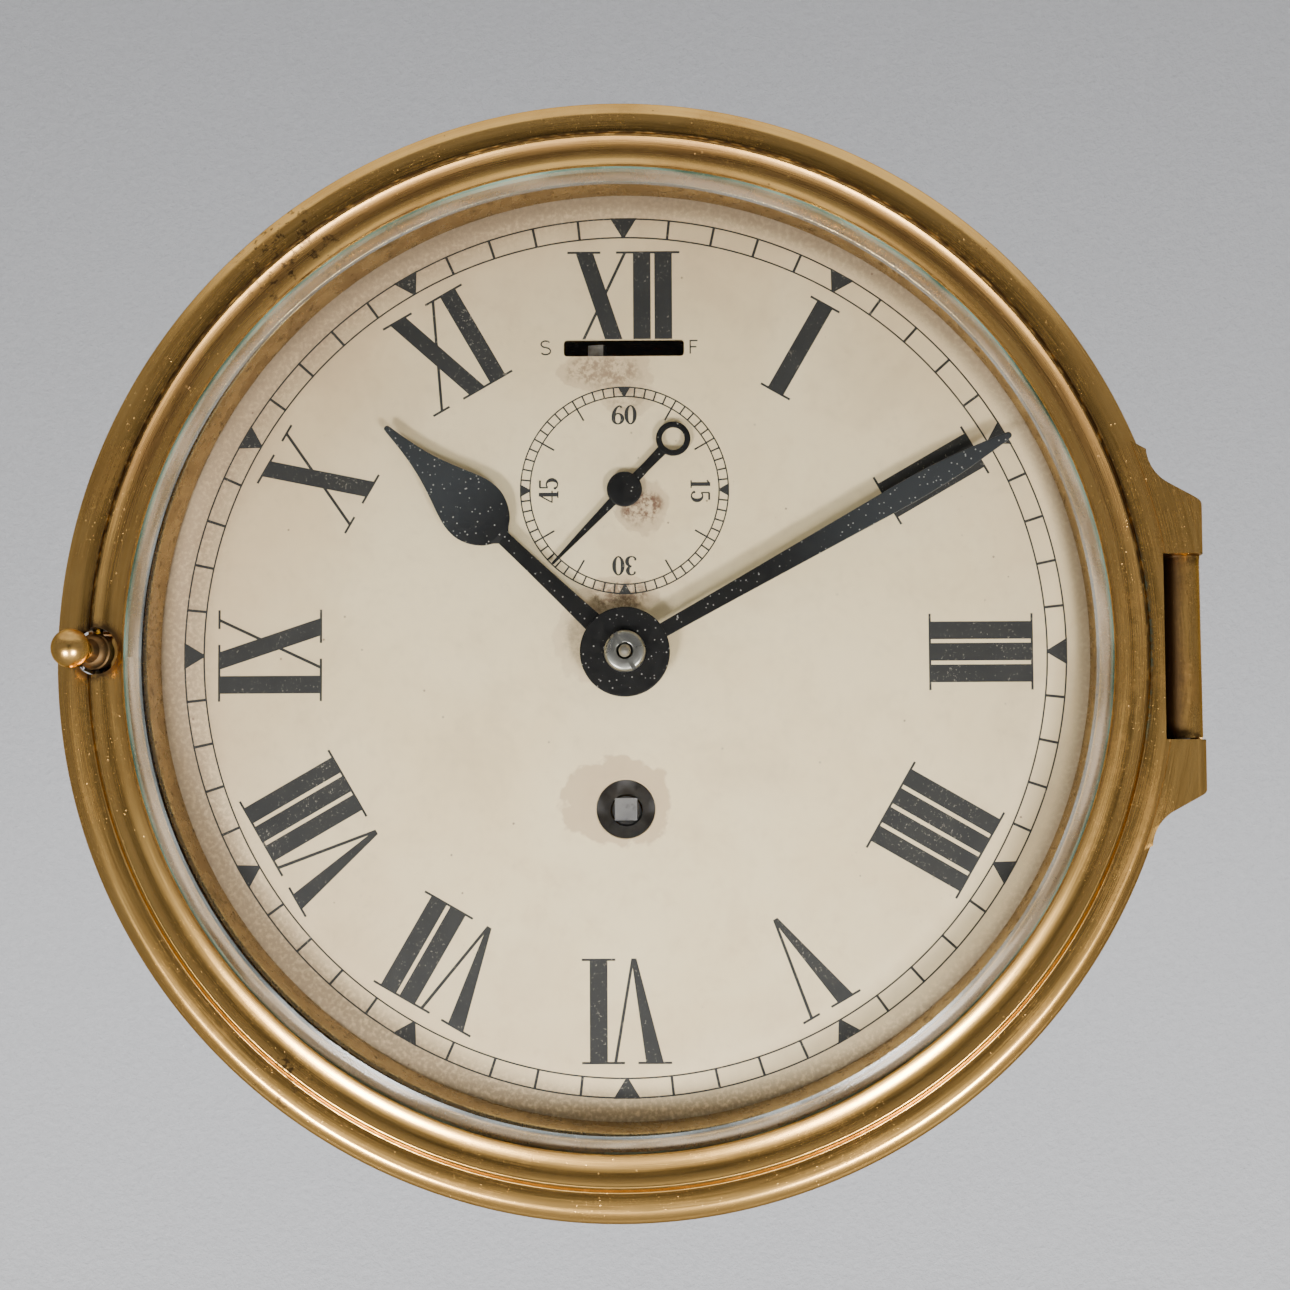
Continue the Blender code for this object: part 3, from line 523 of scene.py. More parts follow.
def knuckle_marks():
    """Painted shade over the knuckle's side towards the bezel, and grime along the knuckle's ends."""
    def knuckle_painted_shade(look, away):
        # Painted shade: the knuckle's side towards the bezel is dark, like the shaded side of a round barrel.
        grain = look.swing(look.noise(0.7, 4.0, rough=0.7), 1.8)
        return look.times(look.fade(look.plus(look.x, grain), HINGE[0] + 1.6, HINGE[0] - 1.2), 0.92)

    def ends(look, away):
        end = look.fade(look.math("ABSOLUTE", look.y), 12.4, 14.2)
        return look.times(end, look.fade(look.noise(0.8, 4.0, rough=0.7), 0.35, 0.6), 0.8)

    return ((knuckle_painted_shade, DARK), (ends, DARK))


def knob_marks():
    """The collar's dark patina, and brown over the ball's upper half."""
    def collar(look, away):
        return look.times(look.fade(look.z, 72.0, 71.2), look.fade(look.noise(0.9, 4.0), 0.15, 0.35), 0.93)

    def ball_top(look, away):
        return look.times(look.fade(look.y, 0.2, 2.4), look.fade(look.noise(0.8, 4.0), 0.25, 0.55), 0.6)

    return ((collar, DARK), (ball_top, BROWN))


# Each stain on the dial: its middle, its half width and height, and how tan and how dark it is.
STAINS = ((WINDING[0] - 1.4, WINDING[1] + 1.0, 8.6, 7.0, 0.62, 0.05), (-3.0, 45.4, 7.6, 3.6, 0.45, 0.62),
          (2.8, 23.6, 4.2, 4.4, 0.50, 0.95), (-1.5, 9.0, 6.4, 3.4, 0.45, 0.75),
          (0.8, 40.6, 4.4, 2.6, 0.35, 0.35), (-6.5, 2.0, 4.6, 6.4, 0.30, 0.25))
STAIN_REACH = 10.0


def dial_paint():
    """Cream paint, browned round the holes and at the edge, with rust specks and painted shade at the very
    edge under the ring.
    """
    look = Finish("dial_cream")
    cloud = look.noise(0.030, 4.0, rough=0.6, bent=0.8)
    grain = look.noise(0.42, 5.0, rough=0.7)
    wobble = look.swing(look.noise(0.16, 4.0, rough=0.65), 16.0)
    edge = look.fade(look.plus(look.away((9.0, -5.0)), wobble), 46.0, 84.0)
    rim = look.fade(look.plus(look.away((5.0, -3.0)), look.times(wobble, 0.5)), 68.0, 78.0)
    sand = look.times(look.fade(look.away((3.0, 0.0)), 67.5, 72.4),
                      look.fade(look.noise(1.5, 3.0), 0.30, 0.58))
    # Painted shade: dark just inside the ring, where the ring's wall shades the dial.
    shade = look.fade(look.away((-0.6, -0.8)), 71.3, 73.6)
    layers = [(edge, 0.75, (0.740, 0.545, 0.315)), (rim, 0.55, (0.42, 0.290, 0.175)),
              (sand, 0.70, (0.36, 0.26, 0.165)), (shade, 0.55, (0.17, 0.125, 0.080))]
    lumps = look.swing(look.noise(0.30, 4.0, rough=0.6), 9.0)
    blotch = look.fade(look.noise(0.8, 5.0, rough=0.75), 0.40, 0.58)
    for x, y, wide, high, tan, dark in STAINS:
        off = look.plus(look.away((x, y), (wide / STAIN_REACH, high / STAIN_REACH)), lumps)
        layers.append((look.fade(off, 10.6, 9.4), tan, (0.52, 0.37, 0.23)))
        layers.append((look.times(look.fade(off, 9.0, 5.0), blotch), dark, (0.13, 0.052, 0.030)))
    rust = look.times(look.spots(0.22, 0.055), look.fade(cloud, 0.42, 0.55))
    freckle = look.times(look.spots(0.75, 0.10), look.fade(look.noise(0.07, 3.0), 0.50, 0.66))
    smoke = look.fade(look.noise(0.055, 4.0, rough=0.65, bent=0.5), 0.48, 0.72)
    layers += [(rust, 0.8, (0.17, 0.10, 0.07)), (freckle, 0.45, (0.36, 0.22, 0.13)),
               (look.fade(grain, 0.45, 0.75), 0.16, (0.50, 0.37, 0.22)), (smoke, 0.22, (0.56, 0.42, 0.26))]
    cream = look.mix(look.fade(cloud, 0.34, 0.68), (0.930, 0.780, 0.490), (0.880, 0.715, 0.430))
    return look.done(look.coats(cream, *layers), look.fade(grain, 0.3, 0.7, 0.46, 0.62),
                     (grain, 0.006), (look.noise(3.0, 2.0), 0.003))


def dial_ink():
    """Printer's black with the dial's cream showing through in tiny specks."""
    look = Finish("dial_ink")
    grain = look.noise(2.2, 4.0, rough=0.8)
    worn = look.fade(look.noise(0.10, 3.0), 0.35, 0.70, 0.640, 0.590)
    specks = look.fade(look.less(grain, worn), 0.0, 0.05)
    black = look.mix(look.noise(0.2, 3.0), (0.020, 0.021, 0.022), (0.042, 0.042, 0.040))
    look.set("Specular IOR Level", 0.3)
    colour = look.coats(black, (specks, 0.75, (0.36, 0.32, 0.26)))
    return look.done(colour, look.fade(grain, 0.3, 0.7, 0.42, 0.60), (grain, 0.004))


def hand_black(name, painted_sheen_from, painted_sheen_to):
    """Blackened steel under dust, with a painted sheen that turns it greyer from the first to the second
    given distance in mm off the centre.
    """
    look = Finish(name)
    dust = look.spots(1.3, 0.20)
    some = look.fade(look.noise(0.8, 3.0), 0.40, 0.52)
    black = look.mix(look.fade(look.away(CENTRE), painted_sheen_from, painted_sheen_to),
                     (0.0045, 0.0045, 0.0048), (0.030, 0.034, 0.038))
    look.set("Specular IOR Level", 0.25)
    colour = look.coats(black, (look.noise(1.6, 4.0, rough=0.8), 0.08, (0.06, 0.058, 0.055)),
                        (look.times(dust, some), 0.8, (0.42, 0.41, 0.38)))
    return look.done(colour, look.fade(look.noise(0.9, 4.0), 0.3, 0.7, 0.34, 0.52),
                     (look.noise(1.8, 3.0), 0.006), (dust, 0.02))


def bright_brass(name, about, worn=0.5):
    """Brass that is still bright under thin brown, with fine turning lines."""
    look = Finish(name, metallic=1.0)
    rings = look.vector(look.away(about), look.z)
    tone = look.noise(0.22, 4.0, rough=0.6)
    brown = look.fade(look.noise(0.6, 4.0, rough=0.7), 0.60 - 0.12 * worn, 0.78 - 0.12 * worn)
    bright = look.mix(look.fade(tone, 0.35, 0.65), (0.50, 0.38, 0.19), (0.36, 0.26, 0.13))
    rough = look.plus(look.fade(tone, 0.3, 0.7, 0.20, 0.32), look.times(brown, 0.25))
    return look.done(look.coats(bright, (brown, 0.8, (0.13, 0.085, 0.05))), rough,
                     (look.noise(4.0, 2.0, rings, rough=0.7), 0.006), (look.noise(1.1, 3.0), 0.01))


def machined(name, light, shade, rough=(0.24, 0.42), wear=0.5):
    """Movement metal: fine tool lines, fingerprints of oil and slight tarnish; grey in front."""
    look = Finish(name, metallic=1.0)
    rings = look.vector(look.away(CENTRE), look.z)
    tone = look.noise(0.12, 4.0, rough=0.6)
    stain = look.fade(look.noise(0.5, 4.0, rough=0.7), 0.52, 0.74)
    arbor_end = look.fade(look.z, 61.0, 62.5)
    clean = look.mix(look.fade(tone, 0.34, 0.66), light, shade)
    colour = look.coats(clean, (stain, wear, tuple(channel * 0.25 for channel in shade)),
                        (arbor_end, 0.75, (0.50, 0.50, 0.47)))
    return look.done(colour, look.fade(tone, 0.3, 0.7, *rough), (look.noise(5.0, 2.0, rings), 0.004),
                     (look.noise(1.5, 3.0), 0.006))


def clear_glass():
    """Flat glass: clear face on, mirror-like at a glance."""
    look = Finish("glass_clear", metallic=1.0)
    fresnel = look.node("Fresnel", IOR=1.5).outputs[0]
    smear = look.fade(look.noise(0.05, 4.0, rough=0.6, bent=1.0), 0.45, 0.75)
    dust = look.times(look.spots(0.55, 0.035), 0.30)
    veil = look.plus(look.times(smear, 0.012), dust)
    look.set("Alpha", look.plus(look.times(fresnel, 0.9), veil))
    return look.done(look.mix(dust, (0.93, 0.97, 0.96), (0.85, 0.84, 0.80)),
                     look.fade(smear, 0.0, 1.0, 0.015, 0.07), (look.noise(0.02, 2.0), 0.010))


def glass_edge(name, dark, light, alpha):
    """One zone of the glass's bevelled rim, where its green and its ground face show."""
    look = Finish(name)
    flow = look.noise(1.4, 3.0, look.vector(look.times(look.bearing(BEZEL_AT), 3.0), look.z))
    look.set("Alpha", look.fade(flow, 0.3, 0.7, *alpha))
    return look.done(look.mix(look.fade(flow, 0.35, 0.65), dark, light),
                     look.fade(flow, 0.3, 0.7, 0.08, 0.22), (flow, 0.02))


# ---- case ----

def case_pieces(brass):
    """The rear flange with its fixing holes, the drum, and the mouth that holds the dial."""
    fixing_r = FLANGE_R - 5.6
    z1 = depth("case_flange")[1]
    inner = DRUM_R - 2.4
    profile = softened([(inner, 1.8), (COVER_R + GAP, 1.8), (COVER_R + GAP, 0.0), (FLANGE_R, 0.0),
                        (FLANGE_R, z1 - 0.8), (FLANGE_R - 0.8, z1), (inner, z1)], 0.35)
    cutters = []
    for turn in (90, 210, 330):
        at = arc((0, 0), fixing_r, turn, turn, 1)[0]
        cutters.append(turned([(0, -1), (2.4, -1), (2.4, 2.0), (4.6, 4.3), (4.6, 6), (0, 6)], at, 48))
    cutters += [rod(at, SCREW_HOLE_R, 1.0, 3.6, 32) for at in COVER_SCREWS]
    piece("flange", cut(turned(profile), *cutters), brass, "case", ["case_flange"])

    z0, z1 = depth("case_drum")
    bead = arc((DRUM_R - 0.3, z1 - 1.2), 0.3, -90.0, 90.0, 6)
    profile = ([(inner, z0), (DRUM_R - 0.3, z0), (DRUM_R, z0 + 0.3), (DRUM_R, z1 - 2.2),
                (DRUM_R - 0.35, z1 - 1.9)] + bead + [(DRUM_R, z1 - 0.5), (DRUM_R, z1), (inner, z1)])
    piece("drum", turned(softened(profile, 0.25)), brass, "case", ["case_drum"])

    z0, z1 = MOUTH_BACK, PARTING_Z
    profile = softened([(inner, z0), (MOUTH_R, z0), (MOUTH_R, z1), (inner, z1), (inner, z1 - 0.3),
                        (SEAT_R, z1 - 0.3), (SEAT_R, z1 - 2.5), (inner - 0.6, z1 - 3.0)], 0.3)
    cutters = [rod(at, SCREW_HOLE_R, 50.0, 55.5, 32) for at in HINGE_SCREWS]
    cutters.append(box((-90.0, -79.9), LATCH_POCKET_Y, (51.5, 58.0)))
    piece("mouth", cut(turned(profile), *cutters), brass, "case", ["case_mouth"])


def back_cover(brass, screw_steel):
    """The round cover and its four slotted, countersunk screws."""
    profile = softened(band_of(0, COVER_R, *depth("back_cover")), 0.35)
    hole = [(0, -1), (2.9, -1), (2.9, 0.3), (SCREW_HOLE_R, 1.2), (SCREW_HOLE_R, 3), (0, 3)]
    holes = [turned(hole, at, 48) for at in COVER_SCREWS]
    piece("cover", cut(turned(profile), *holes), brass, "case", ["back_cover"])
    screw = softened([(0, 0.1), (2.3, 0.1), (2.3, 0.25), (1.0, 0.95), (1.0, 3.3), (0, 3.3)], 0.1)
    for i, at in enumerate(COVER_SCREWS, 1):
        shape = turned(screw, at, 48)
        turn = Matrix.Rotation(math.radians(37.0 * i), 4, "Z")
        slot = box((-3.0, 3.0), (-0.28, 0.28), (-1.0, 0.55))
        slot.transform(Matrix.Translation((at[0], at[1], 0.0)) @ turn)
        piece("cover_screw_head_%d" % i, cut(shape, slot), screw_steel, "case",
              ["cover_screw_%d" % i])


def bezel_profile():
    """Front moulding from the sight lip outwards, then the rim and the hollow back."""
    sight = SIGHT_R
    top = FRONT_Z
    cove = arc((RIM_R - 8.3, top + 3.35), 4.7, 236.0, 300.0, 14)
    crest = [(RIM_R - 5.62, top - 0.93), (RIM_R - 5.42, top - 1.25), (RIM_R - 5.40, top - 2.30)]
    band = arc((RIM_R - 3.2, top - 12.2), 9.35, 100.5, 81.0, 8)
    edge = [(RIM_R - 1.1, top - 3.30), (RIM_R - 0.75, top - 3.66)]
    edge += arc((RIM_R - 0.9, top - 4.6), 0.9, 62.0, 0.0, 6)
    back = [(RIM_R, 57.3), (RIM_R - 1.2, 57.3), (RIM_R - 1.4, 61.5), (RIM_R - 7.2, 61.5),
            (RIM_R - 7.4, 57.3), (RIM_R - 9.4, 57.3), (RIM_R - 9.4, 69.0), (sight + 0.7, 69.0)]
    return [(sight, top - 0.95), (sight, top - 0.35), (sight + 0.25, top)] + cove + crest + band + edge + back


def hinge_lug(side):
    """A bezel lug: its plan blends into the rim, its side is rounded about the pin."""
    x, _, z = HINGE
    outer = LUG_OUT_X
    edge_r = outer - x
    plan = ([(80.0, LUG_IN), (outer, LUG_IN), (outer, 21.9)] + arc((outer - 1.3, 21.9), 1.3, 6.0, 58.0, 8)
            + arc((88.2, 31.4), 6.6, -120.0, -176.0, 14) + [(76.0, 34.0)])
    outline = ([(76.0, 67.15), (89.4, 67.15), (outer, 66.2)] + arc((x, z), edge_r, 0.0, -90.0, 14)
               + [(76.0, z - edge_r)])
    shape = combined(prism([(px, py * side) for px, py in plan], 50.0, 75.0),
                     ("INTERSECT", side_prism(softened(outline, 0.7), -40.0, 40.0)))
    shape = bevelled(shape, 0.28, 2, 50.0)
    return cut(shape, rod(BEZEL_AT, 79.2, 40.0, 80.0, ROUND))


def bezel_pieces(brass):
    """The turned ring with its lugs, its hinge and latch holes and the latch's pocket."""
    latch_hole = [(0, 60.0), (3.65, 60.0), (3.65, 69.0), (3.85, 80), (0, 80)]
    ring = turned(softened(bezel_profile(), 0.16, 2), BEZEL_AT)
    steps = [("UNION", hinge_lug(1)), ("UNION", hinge_lug(-1)),
             ("DIFFERENCE", box((83.9, 99.0), (-LUG_IN, LUG_IN), (50.0, 80.0))),
             ("DIFFERENCE", cross_rod(PIN_HOLE_R, 26, HINGE)),
             ("DIFFERENCE", turned(latch_hole, LATCH_HOLE, 72)),
             ("DIFFERENCE", box((-87.0, -79.3), LATCH_POCKET_Y, (56.0, 66.2))),
             ("DIFFERENCE", cross_rod(LATCH_PIN_R, 7.0, LATCH, 24))]
    piece("bezel", combined(ring, *steps), brass, "bezel", ["bezel_ring"])


def hinge_pieces(brass, steel):
    """The knuckle with its foot, and the pin through it."""
    x, _, z = HINGE
    knuckle_r = 3.2
    half = extent("hinge_bracket")[1][1]
    z0, z1 = 48.7, 52.0
    outline = arc((x, z), knuckle_r, 255.0, -60.0, 48) + [(89.6, z0), (79.6, z0), (79.6, z1), (86.3, z1)]
    body = bevelled(side_prism(outline, -half, half), 0.45, 3, 60.0)
    cuts = [cross_rod(PIN_HOLE_R, 20, HINGE), rod(CENTRE, 81.5, 40, z1 + 1.0, ROUND)]
    cuts += [rod(at, SCREW_HOLE_R, 40, 54, 32) for at in HINGE_SCREWS]
    shape = combined(body, *[("DIFFERENCE", bm) for bm in cuts], solver="MANIFOLD")
    piece("hinge_knuckle", shape, brass, "case", ["hinge_bracket"])
    pin = turned(softened(band_of(0, 1.3, *extent("hinge_pin")[1]), 0.3), steps=48)
    piece("hinge_rod", stood_up(pin, x, z), steel, "case", ["hinge_pin"])


def glass_pieces(glass, rim, milky, line, brass):
    """The bevelled pane, whose rim shows three zones, and the ring that holds it."""
    z0, z1 = depth("glass")
    size = radius("glass")
    bevel_in = size - GLASS_BEVEL
    slope = [(size - back, z1 - 1.3 * (GLASS_BEVEL - back) / GLASS_BEVEL)
             for back in (0.15, GREEN_TO, MILKY_TO)]
    profile = ([(0, z0), (bevel_in, z0), (size - GREEN_TO, z0), (size - 0.2, z0), (size, z0 + 0.2),
                (size, z1 - 1.4)] + slope + [(bevel_in, z1), (0, z1)])
    pane = piece("glass_pane", turned(profile, BEZEL_AT), glass, "bezel", ["glass"], 12.0)
    for look in (rim, milky, line):
        pane.data.materials.append(look)
    for face in pane.data.polygons:
        centre = face.center
        back = size - math.hypot(centre.x / MM - BEZEL_AT[0], centre.z / MM - BEZEL_AT[1])
        front = -centre.y / MM > z0 + 0.3
        if back < GREEN_TO:
            face.material_index = 1
        elif front and back < MILKY_TO:
            face.material_index = 2
        elif front and back < LINE_TO:
            face.material_index = 3
    size = radius("glass_retaining_ring")
    profile = softened(band_of(size - 2.8, size, *depth("glass_retaining_ring")), 0.4)
    piece("glass_ring", turned(profile, BEZEL_AT), brass, "bezel", ["glass_retaining_ring"])


def latch_pieces(brass):
    """The rocking lever: ball, collar and the arm with its nose."""
    low = extent("latch_lever")[0][0]
    ball_r = 3.0
    ball_at = Vector((low + ball_r, 0.0, depth("latch_lever")[1] - ball_r))
    foot = Vector((LATCH[0] + 0.6, 0.0, 66.4))
    axis = ball_at - foot
    length = axis.length
    ball = arc((0.0, length), ball_r, -64.0, 90.0, 26)
    collar = [(0, -0.8), (2.3, -0.8), (2.85, 0.6), (2.85, 1.9), (2.65, 2.1)]
    collar += arc((1.2, 2.2), 1.45, 0.0, 62.0, 7)
    waist = arc((2.9, length - 4.1), 1.5, 205.0, 140.0, 8)
    knob = turned(collar + waist + ball[:-1] + [(0.0, length + ball_r)], steps=72)
    knob.transform(Matrix.Translation(foot) @ axis.to_track_quat("Z", "Y").to_matrix().to_4x4())
    arm = side_prism([(-84.4, 54.8), (-83.0, 54.8), (-82.4, 57.6), (-80.9, 61.5), (-80.3, 65.4),
                      (-80.6, 66.6), (-83.4, 66.6), (-84.6, 64.5), (-84.4, 58.0)], -2.6, 2.6)
    eye = cross_rod(LATCH_PIN_R, 5, LATCH, 32)
    shape = combined(bevelled(arm, 0.3, 2), ("UNION", knob), ("DIFFERENCE", eye))
    piece("latch_knob", shape, brass, "latch", ["latch_lever"])


# ---- dial ----

def round_slot(half, corner, at_y, z0, z1):
    """A slot with round corners; half is its half width and half height."""
    x, y = half
    outline = []
    for cx, cy, start in ((x, y, 0), (-x, y, 90), (-x, -y, 180), (x, -y, 270)):
        centre = (cx - math.copysign(corner, cx), cy - math.copysign(corner, cy) + at_y)
        outline += arc(centre, corner, start, start + 90, 6)
    return prism(outline, z0, z1)


def dial_pieces(paint, brass):
    """The dial plate with its four openings, and the brass band round it."""
    z0, z1 = depth("dial")
    body = turned(softened(band_of(0, DIAL_R, z0, z1), 0.2, 2))
    hole = WINDING_HOLE_R
    flare = [(0, 50), (hole, 50), (hole, z1 - 0.12), (hole + 0.14, z1 + 0.02), (hole + 0.14, 60), (0, 60)]
    holes = [rod(CENTRE, 3.6, 50, 60), turned(flare, WINDING[:2], 96), rod(SECONDS[:2], 1.2, 50, 60, 48),
             round_slot(SLOT_HALF, SLOT_CORNER, SLOT_Y, 50, 60)]
    piece("dial_plate", cut(body, *holes), paint, "case", ["dial"])
    z0, z1 = depth("dial_surround")
    wall = radius("dial_surround")
    profile = [(wall - 2.7, z0), (wall, z0), (wall, z0 + 0.9), (wall - 0.4, z0 + 1.3), (wall - 0.4, z1),
               (wall - 1.2, z1), (wall - 1.45, z1 - 0.9), (wall - 1.9, z1 - 2.4), (wall - 2.35, z0 + 1.3)]
    piece("dial_ring", turned(softened(profile, 0.25)), brass, "case", ["dial_surround"])


class Print:
    """Collects the dial's printed strokes as thin solids, each a hair higher than the last."""

    def __init__(self):
        self.bm = bmesh.new()
        self.count = 0

    def strip(self, left, right, closed=False):
        self.count += 1
        low = DIAL_Z - 0.012
        high = DIAL_Z + 0.014 + 0.0004 * (self.count % 60)
        rows = []
        for (lx, ly), (rx, ry) in zip(left, right):
            rows.append([self.bm.verts.new(at) for at in
                         ((lx, ly, low), (lx, ly, high), (rx, ry, high), (rx, ry, low))])
        pairs = list(zip(rows, rows[1:]))
        if closed:
            pairs.append((rows[-1], rows[0]))
        else:
            self.bm.faces.new(rows[0])
            self.bm.faces.new(rows[-1][::-1])
        for start, end in pairs:
            for i in range(4):
                j = (i + 1) % 4
                self.bm.faces.new((start[i], end[i], end[j], start[j]))

    def pen(self, points, widths, closed=False):
        """A stroke along points; widths is one number, or one for each point."""
        if not isinstance(widths, list):
            widths = [widths] * len(points)
        left, right = [], []
        count = len(points)
        for i, (point, width) in enumerate(zip(points, widths)):
            before = points[i - 1] if closed or i else points[0]
            after = points[(i + 1) % count] if closed or i + 1 < count else points[-1]
            along = (Vector(after) - Vector(before)).normalized()
            side = Vector((-along.y, along.x)) * width / 2.0
            left.append(tuple(Vector(point) + side))
            right.append(tuple(Vector(point) - side))
        self.strip(left, right, closed)

    def quad(self, a, b, c, d):
        self.strip([a, d], [b, c])

    def ring(self, at, inner, outer):
        steps = 240
        turns = [math.tau * i / steps for i in range(steps)]
        self.strip([(at[0] + outer * math.cos(t), at[1] + outer * math.sin(t)) for t in turns],
                   [(at[0] + inner * math.cos(t), at[1] + inner * math.sin(t)) for t in turns], True)


def around(at, angle, across, along):
    """A point across and along a spoke that points angle degrees clockwise from 12."""
    turn = math.radians(angle)
    return (at[0] + across * math.cos(turn) + along * math.sin(turn),
            at[1] - across * math.sin(turn) + along * math.cos(turn))


def track(ink, at, inner, outer, line, tick, wedges, wedge_half):
    """Two rings with sixty ticks, and a wedge at each of the given minutes."""
    ink.ring(at, outer - line, outer)
    ink.ring(at, inner, inner + line)
    for minute in range(60):
        angle = minute * 6.0
        if minute in wedges:
            ink.quad(around(at, angle, -wedge_half, outer), around(at, angle, wedge_half, outer),
                     around(at, angle, tick / 3.0, inner), around(at, angle, -tick / 3.0, inner))
        else:
            ink.pen([around(at, angle, 0.0, inner), around(at, angle, 0.0, outer)], tick)


def bar(ink, at, angle, across, along):
    """A bar on a spoke; across and along are its two spans."""
    corners = ((across[0], along[0]), (across[1], along[0]), (across[1], along[1]), (across[0], along[1]))
    ink.quad(*[around(at, angle, u, v) for u, v in corners])


THICK = 2.8
HAIR = 0.5
SERIF = 0.36
LETTER_GAP = 0.95
PAIR_GAPS = {"II": 0.62}


def numeral_strokes(text):
    """Strokes as four corners each, with u across and v from 0 at the foot to 1 at the head."""
    spans = {"I": THICK, "V": 7.9, "X": 8.3}
    width = sum(spans[letter] for letter in text)
    for pair in zip(text, text[1:]):
        width += PAIR_GAPS.get("".join(pair), LETTER_GAP)
    strokes, heads, feet = [], [], []
    u = -width / 2.0
    for i, letter in enumerate(text):
        span = spans[letter]
        if letter == "I":
            strokes.append(((u, 0), (u + THICK, 0), (u + THICK, 1), (u, 1)))
            heads.append((u, u + THICK))
            feet.append((u, u + THICK))
        elif letter == "V":
            point = u + span * 0.60
            strokes.append(((point - 0.45, 0), (point + 0.35, 0), (u + THICK, 1), (u, 1)))
            strokes.append(((point - 0.1, 0), (point + 0.35, 0), (u + span, 1), (u + span - HAIR, 1)))
            heads.append((u, u + THICK))
            heads.append((u + span - HAIR, u + span))
        else:
            strokes.append(((u + span - THICK, 0), (u + span, 0), (u + THICK, 1), (u, 1)))
            strokes.append(((u, 0), (u + HAIR, 0), (u + span, 1), (u + span - HAIR, 1)))
            heads += [(u, u + THICK), (u + span - HAIR, u + span)]
            feet += [(u, u + HAIR), (u + span - THICK, u + span)]
        u += span
        if i + 1 < len(text):
            u += PAIR_GAPS.get(text[i:i + 2], LETTER_GAP)
    return strokes, heads, feet


def serif_lines(spans, reach=1.25):
    """Serifs over the strokes' ends, joined where they meet."""
    lines = []
    for start, end in sorted(spans):
        if lines and start - reach <= lines[-1][1] + 0.05:
            lines[-1][1] = end + reach
        else:
            lines.append([start - reach, end + reach])
    return lines


def hour_numerals(ink):
    """Twelve numerals that stand on the dial's centre; the slot cuts the foot of XII."""
    names = ("XII", "I", "II", "III", "IIII", "V", "VI", "VII", "VIII", "IX", "X", "XI")
    tall = NUMERAL_OUT - NUMERAL_IN
    for hour, text in enumerate(names):
        angle = hour * 30.0
        foot = NUMERAL_IN
        cropped = text == "XII"
        base = (SLOT_Y + SLOT_HALF[1] + 0.05 - foot) / tall if cropped else 0.0
        strokes, heads, feet = numeral_strokes(text)
        for a, b, c, d in strokes:
            if cropped:
                a = (a[0] + (d[0] - a[0]) * base, base)
                b = (b[0] + (c[0] - b[0]) * base, base)
            ink.quad(*[around(CENTRE, angle, u, foot + v * tall) for u, v in (a, b, c, d)])
        for line in serif_lines(heads):
            bar(ink, CENTRE, angle, line, (NUMERAL_OUT - SERIF, NUMERAL_OUT))
        if cropped:
            continue
        for line in serif_lines(feet):
            bar(ink, CENTRE, angle, line, (foot, foot + SERIF))


def swelling(points, centre_x, half, thin, thick):
    """Widths that swell where a bowl runs upright, away from its centre line."""
    return [thin + (thick - thin) * min(1.0, abs(x - centre_x) / half) ** 2 for x, _ in points]


def digit_strokes(digit):
    """A digit one unit high as (points, widths, closed) strokes about its middle."""
    thin, thick = 0.07, 0.20
    if digit == "0":
        ring = ellipse((0, 0), 0.22, 0.47, 0, 360, 28)[:-1]
        return [(ring, swelling(ring, 0.0, 0.22, thin, thick), True)]
    if digit == "1":
        return [([(0.04, -0.5), (0.04, 0.5)], thick, False), ([(-0.16, 0.34), (0.04, 0.47)], 0.08, False),
                ([(-0.16, -0.48), (0.24, -0.48)], thin, False)]
    if digit == "3":
        top = ellipse((-0.02, 0.25), 0.20, 0.22, 150, -90, 16)
        low = ellipse((-0.02, -0.22), 0.24, 0.25, 90, -150, 18)
        return [(top, swelling(top, -0.06, 0.24, thin, thick), False),
                (low, swelling(low, -0.06, 0.28, thin, thick), False),
                ([(-0.20, 0.30), (-0.16, 0.38)], 0.10, False),
                ([(-0.24, -0.28), (-0.18, -0.36)], 0.11, False)]
    if digit == "4":
        return [([(0.12, -0.5), (0.12, 0.5)], thick, False), ([(0.08, 0.48), (-0.28, -0.18)], thin, False),
                ([(-0.30, -0.18), (0.32, -0.18)], thin, False),
                ([(-0.05, -0.48), (0.29, -0.48)], thin, False)]
    if digit == "5":
        bowl = ellipse((-0.02, -0.18), 0.24, 0.29, 128, -150, 20)
        return [([(-0.18, 0.44), (0.20, 0.44)], 0.10, False), ([(-0.18, 0.46), (-0.18, 0.03)], thin, False),
                (bowl, swelling(bowl, -0.06, 0.28, thin, thick), False),
                ([(-0.24, -0.28), (-0.18, -0.36)], 0.11, False)]
    ring = ellipse((0.01, -0.20), 0.23, 0.27, 0, 360, 24)[:-1]
    back = ellipse((0.16, -0.12), 0.38, 0.59, 180, 95, 14)
    return [(ring, swelling(ring, 0.01, 0.23, thin, thick), True),
            (back, swelling(back, 0.16, 0.38, thin, thick), False),
            ([(0.13, 0.46), (0.20, 0.36)], 0.10, False)]


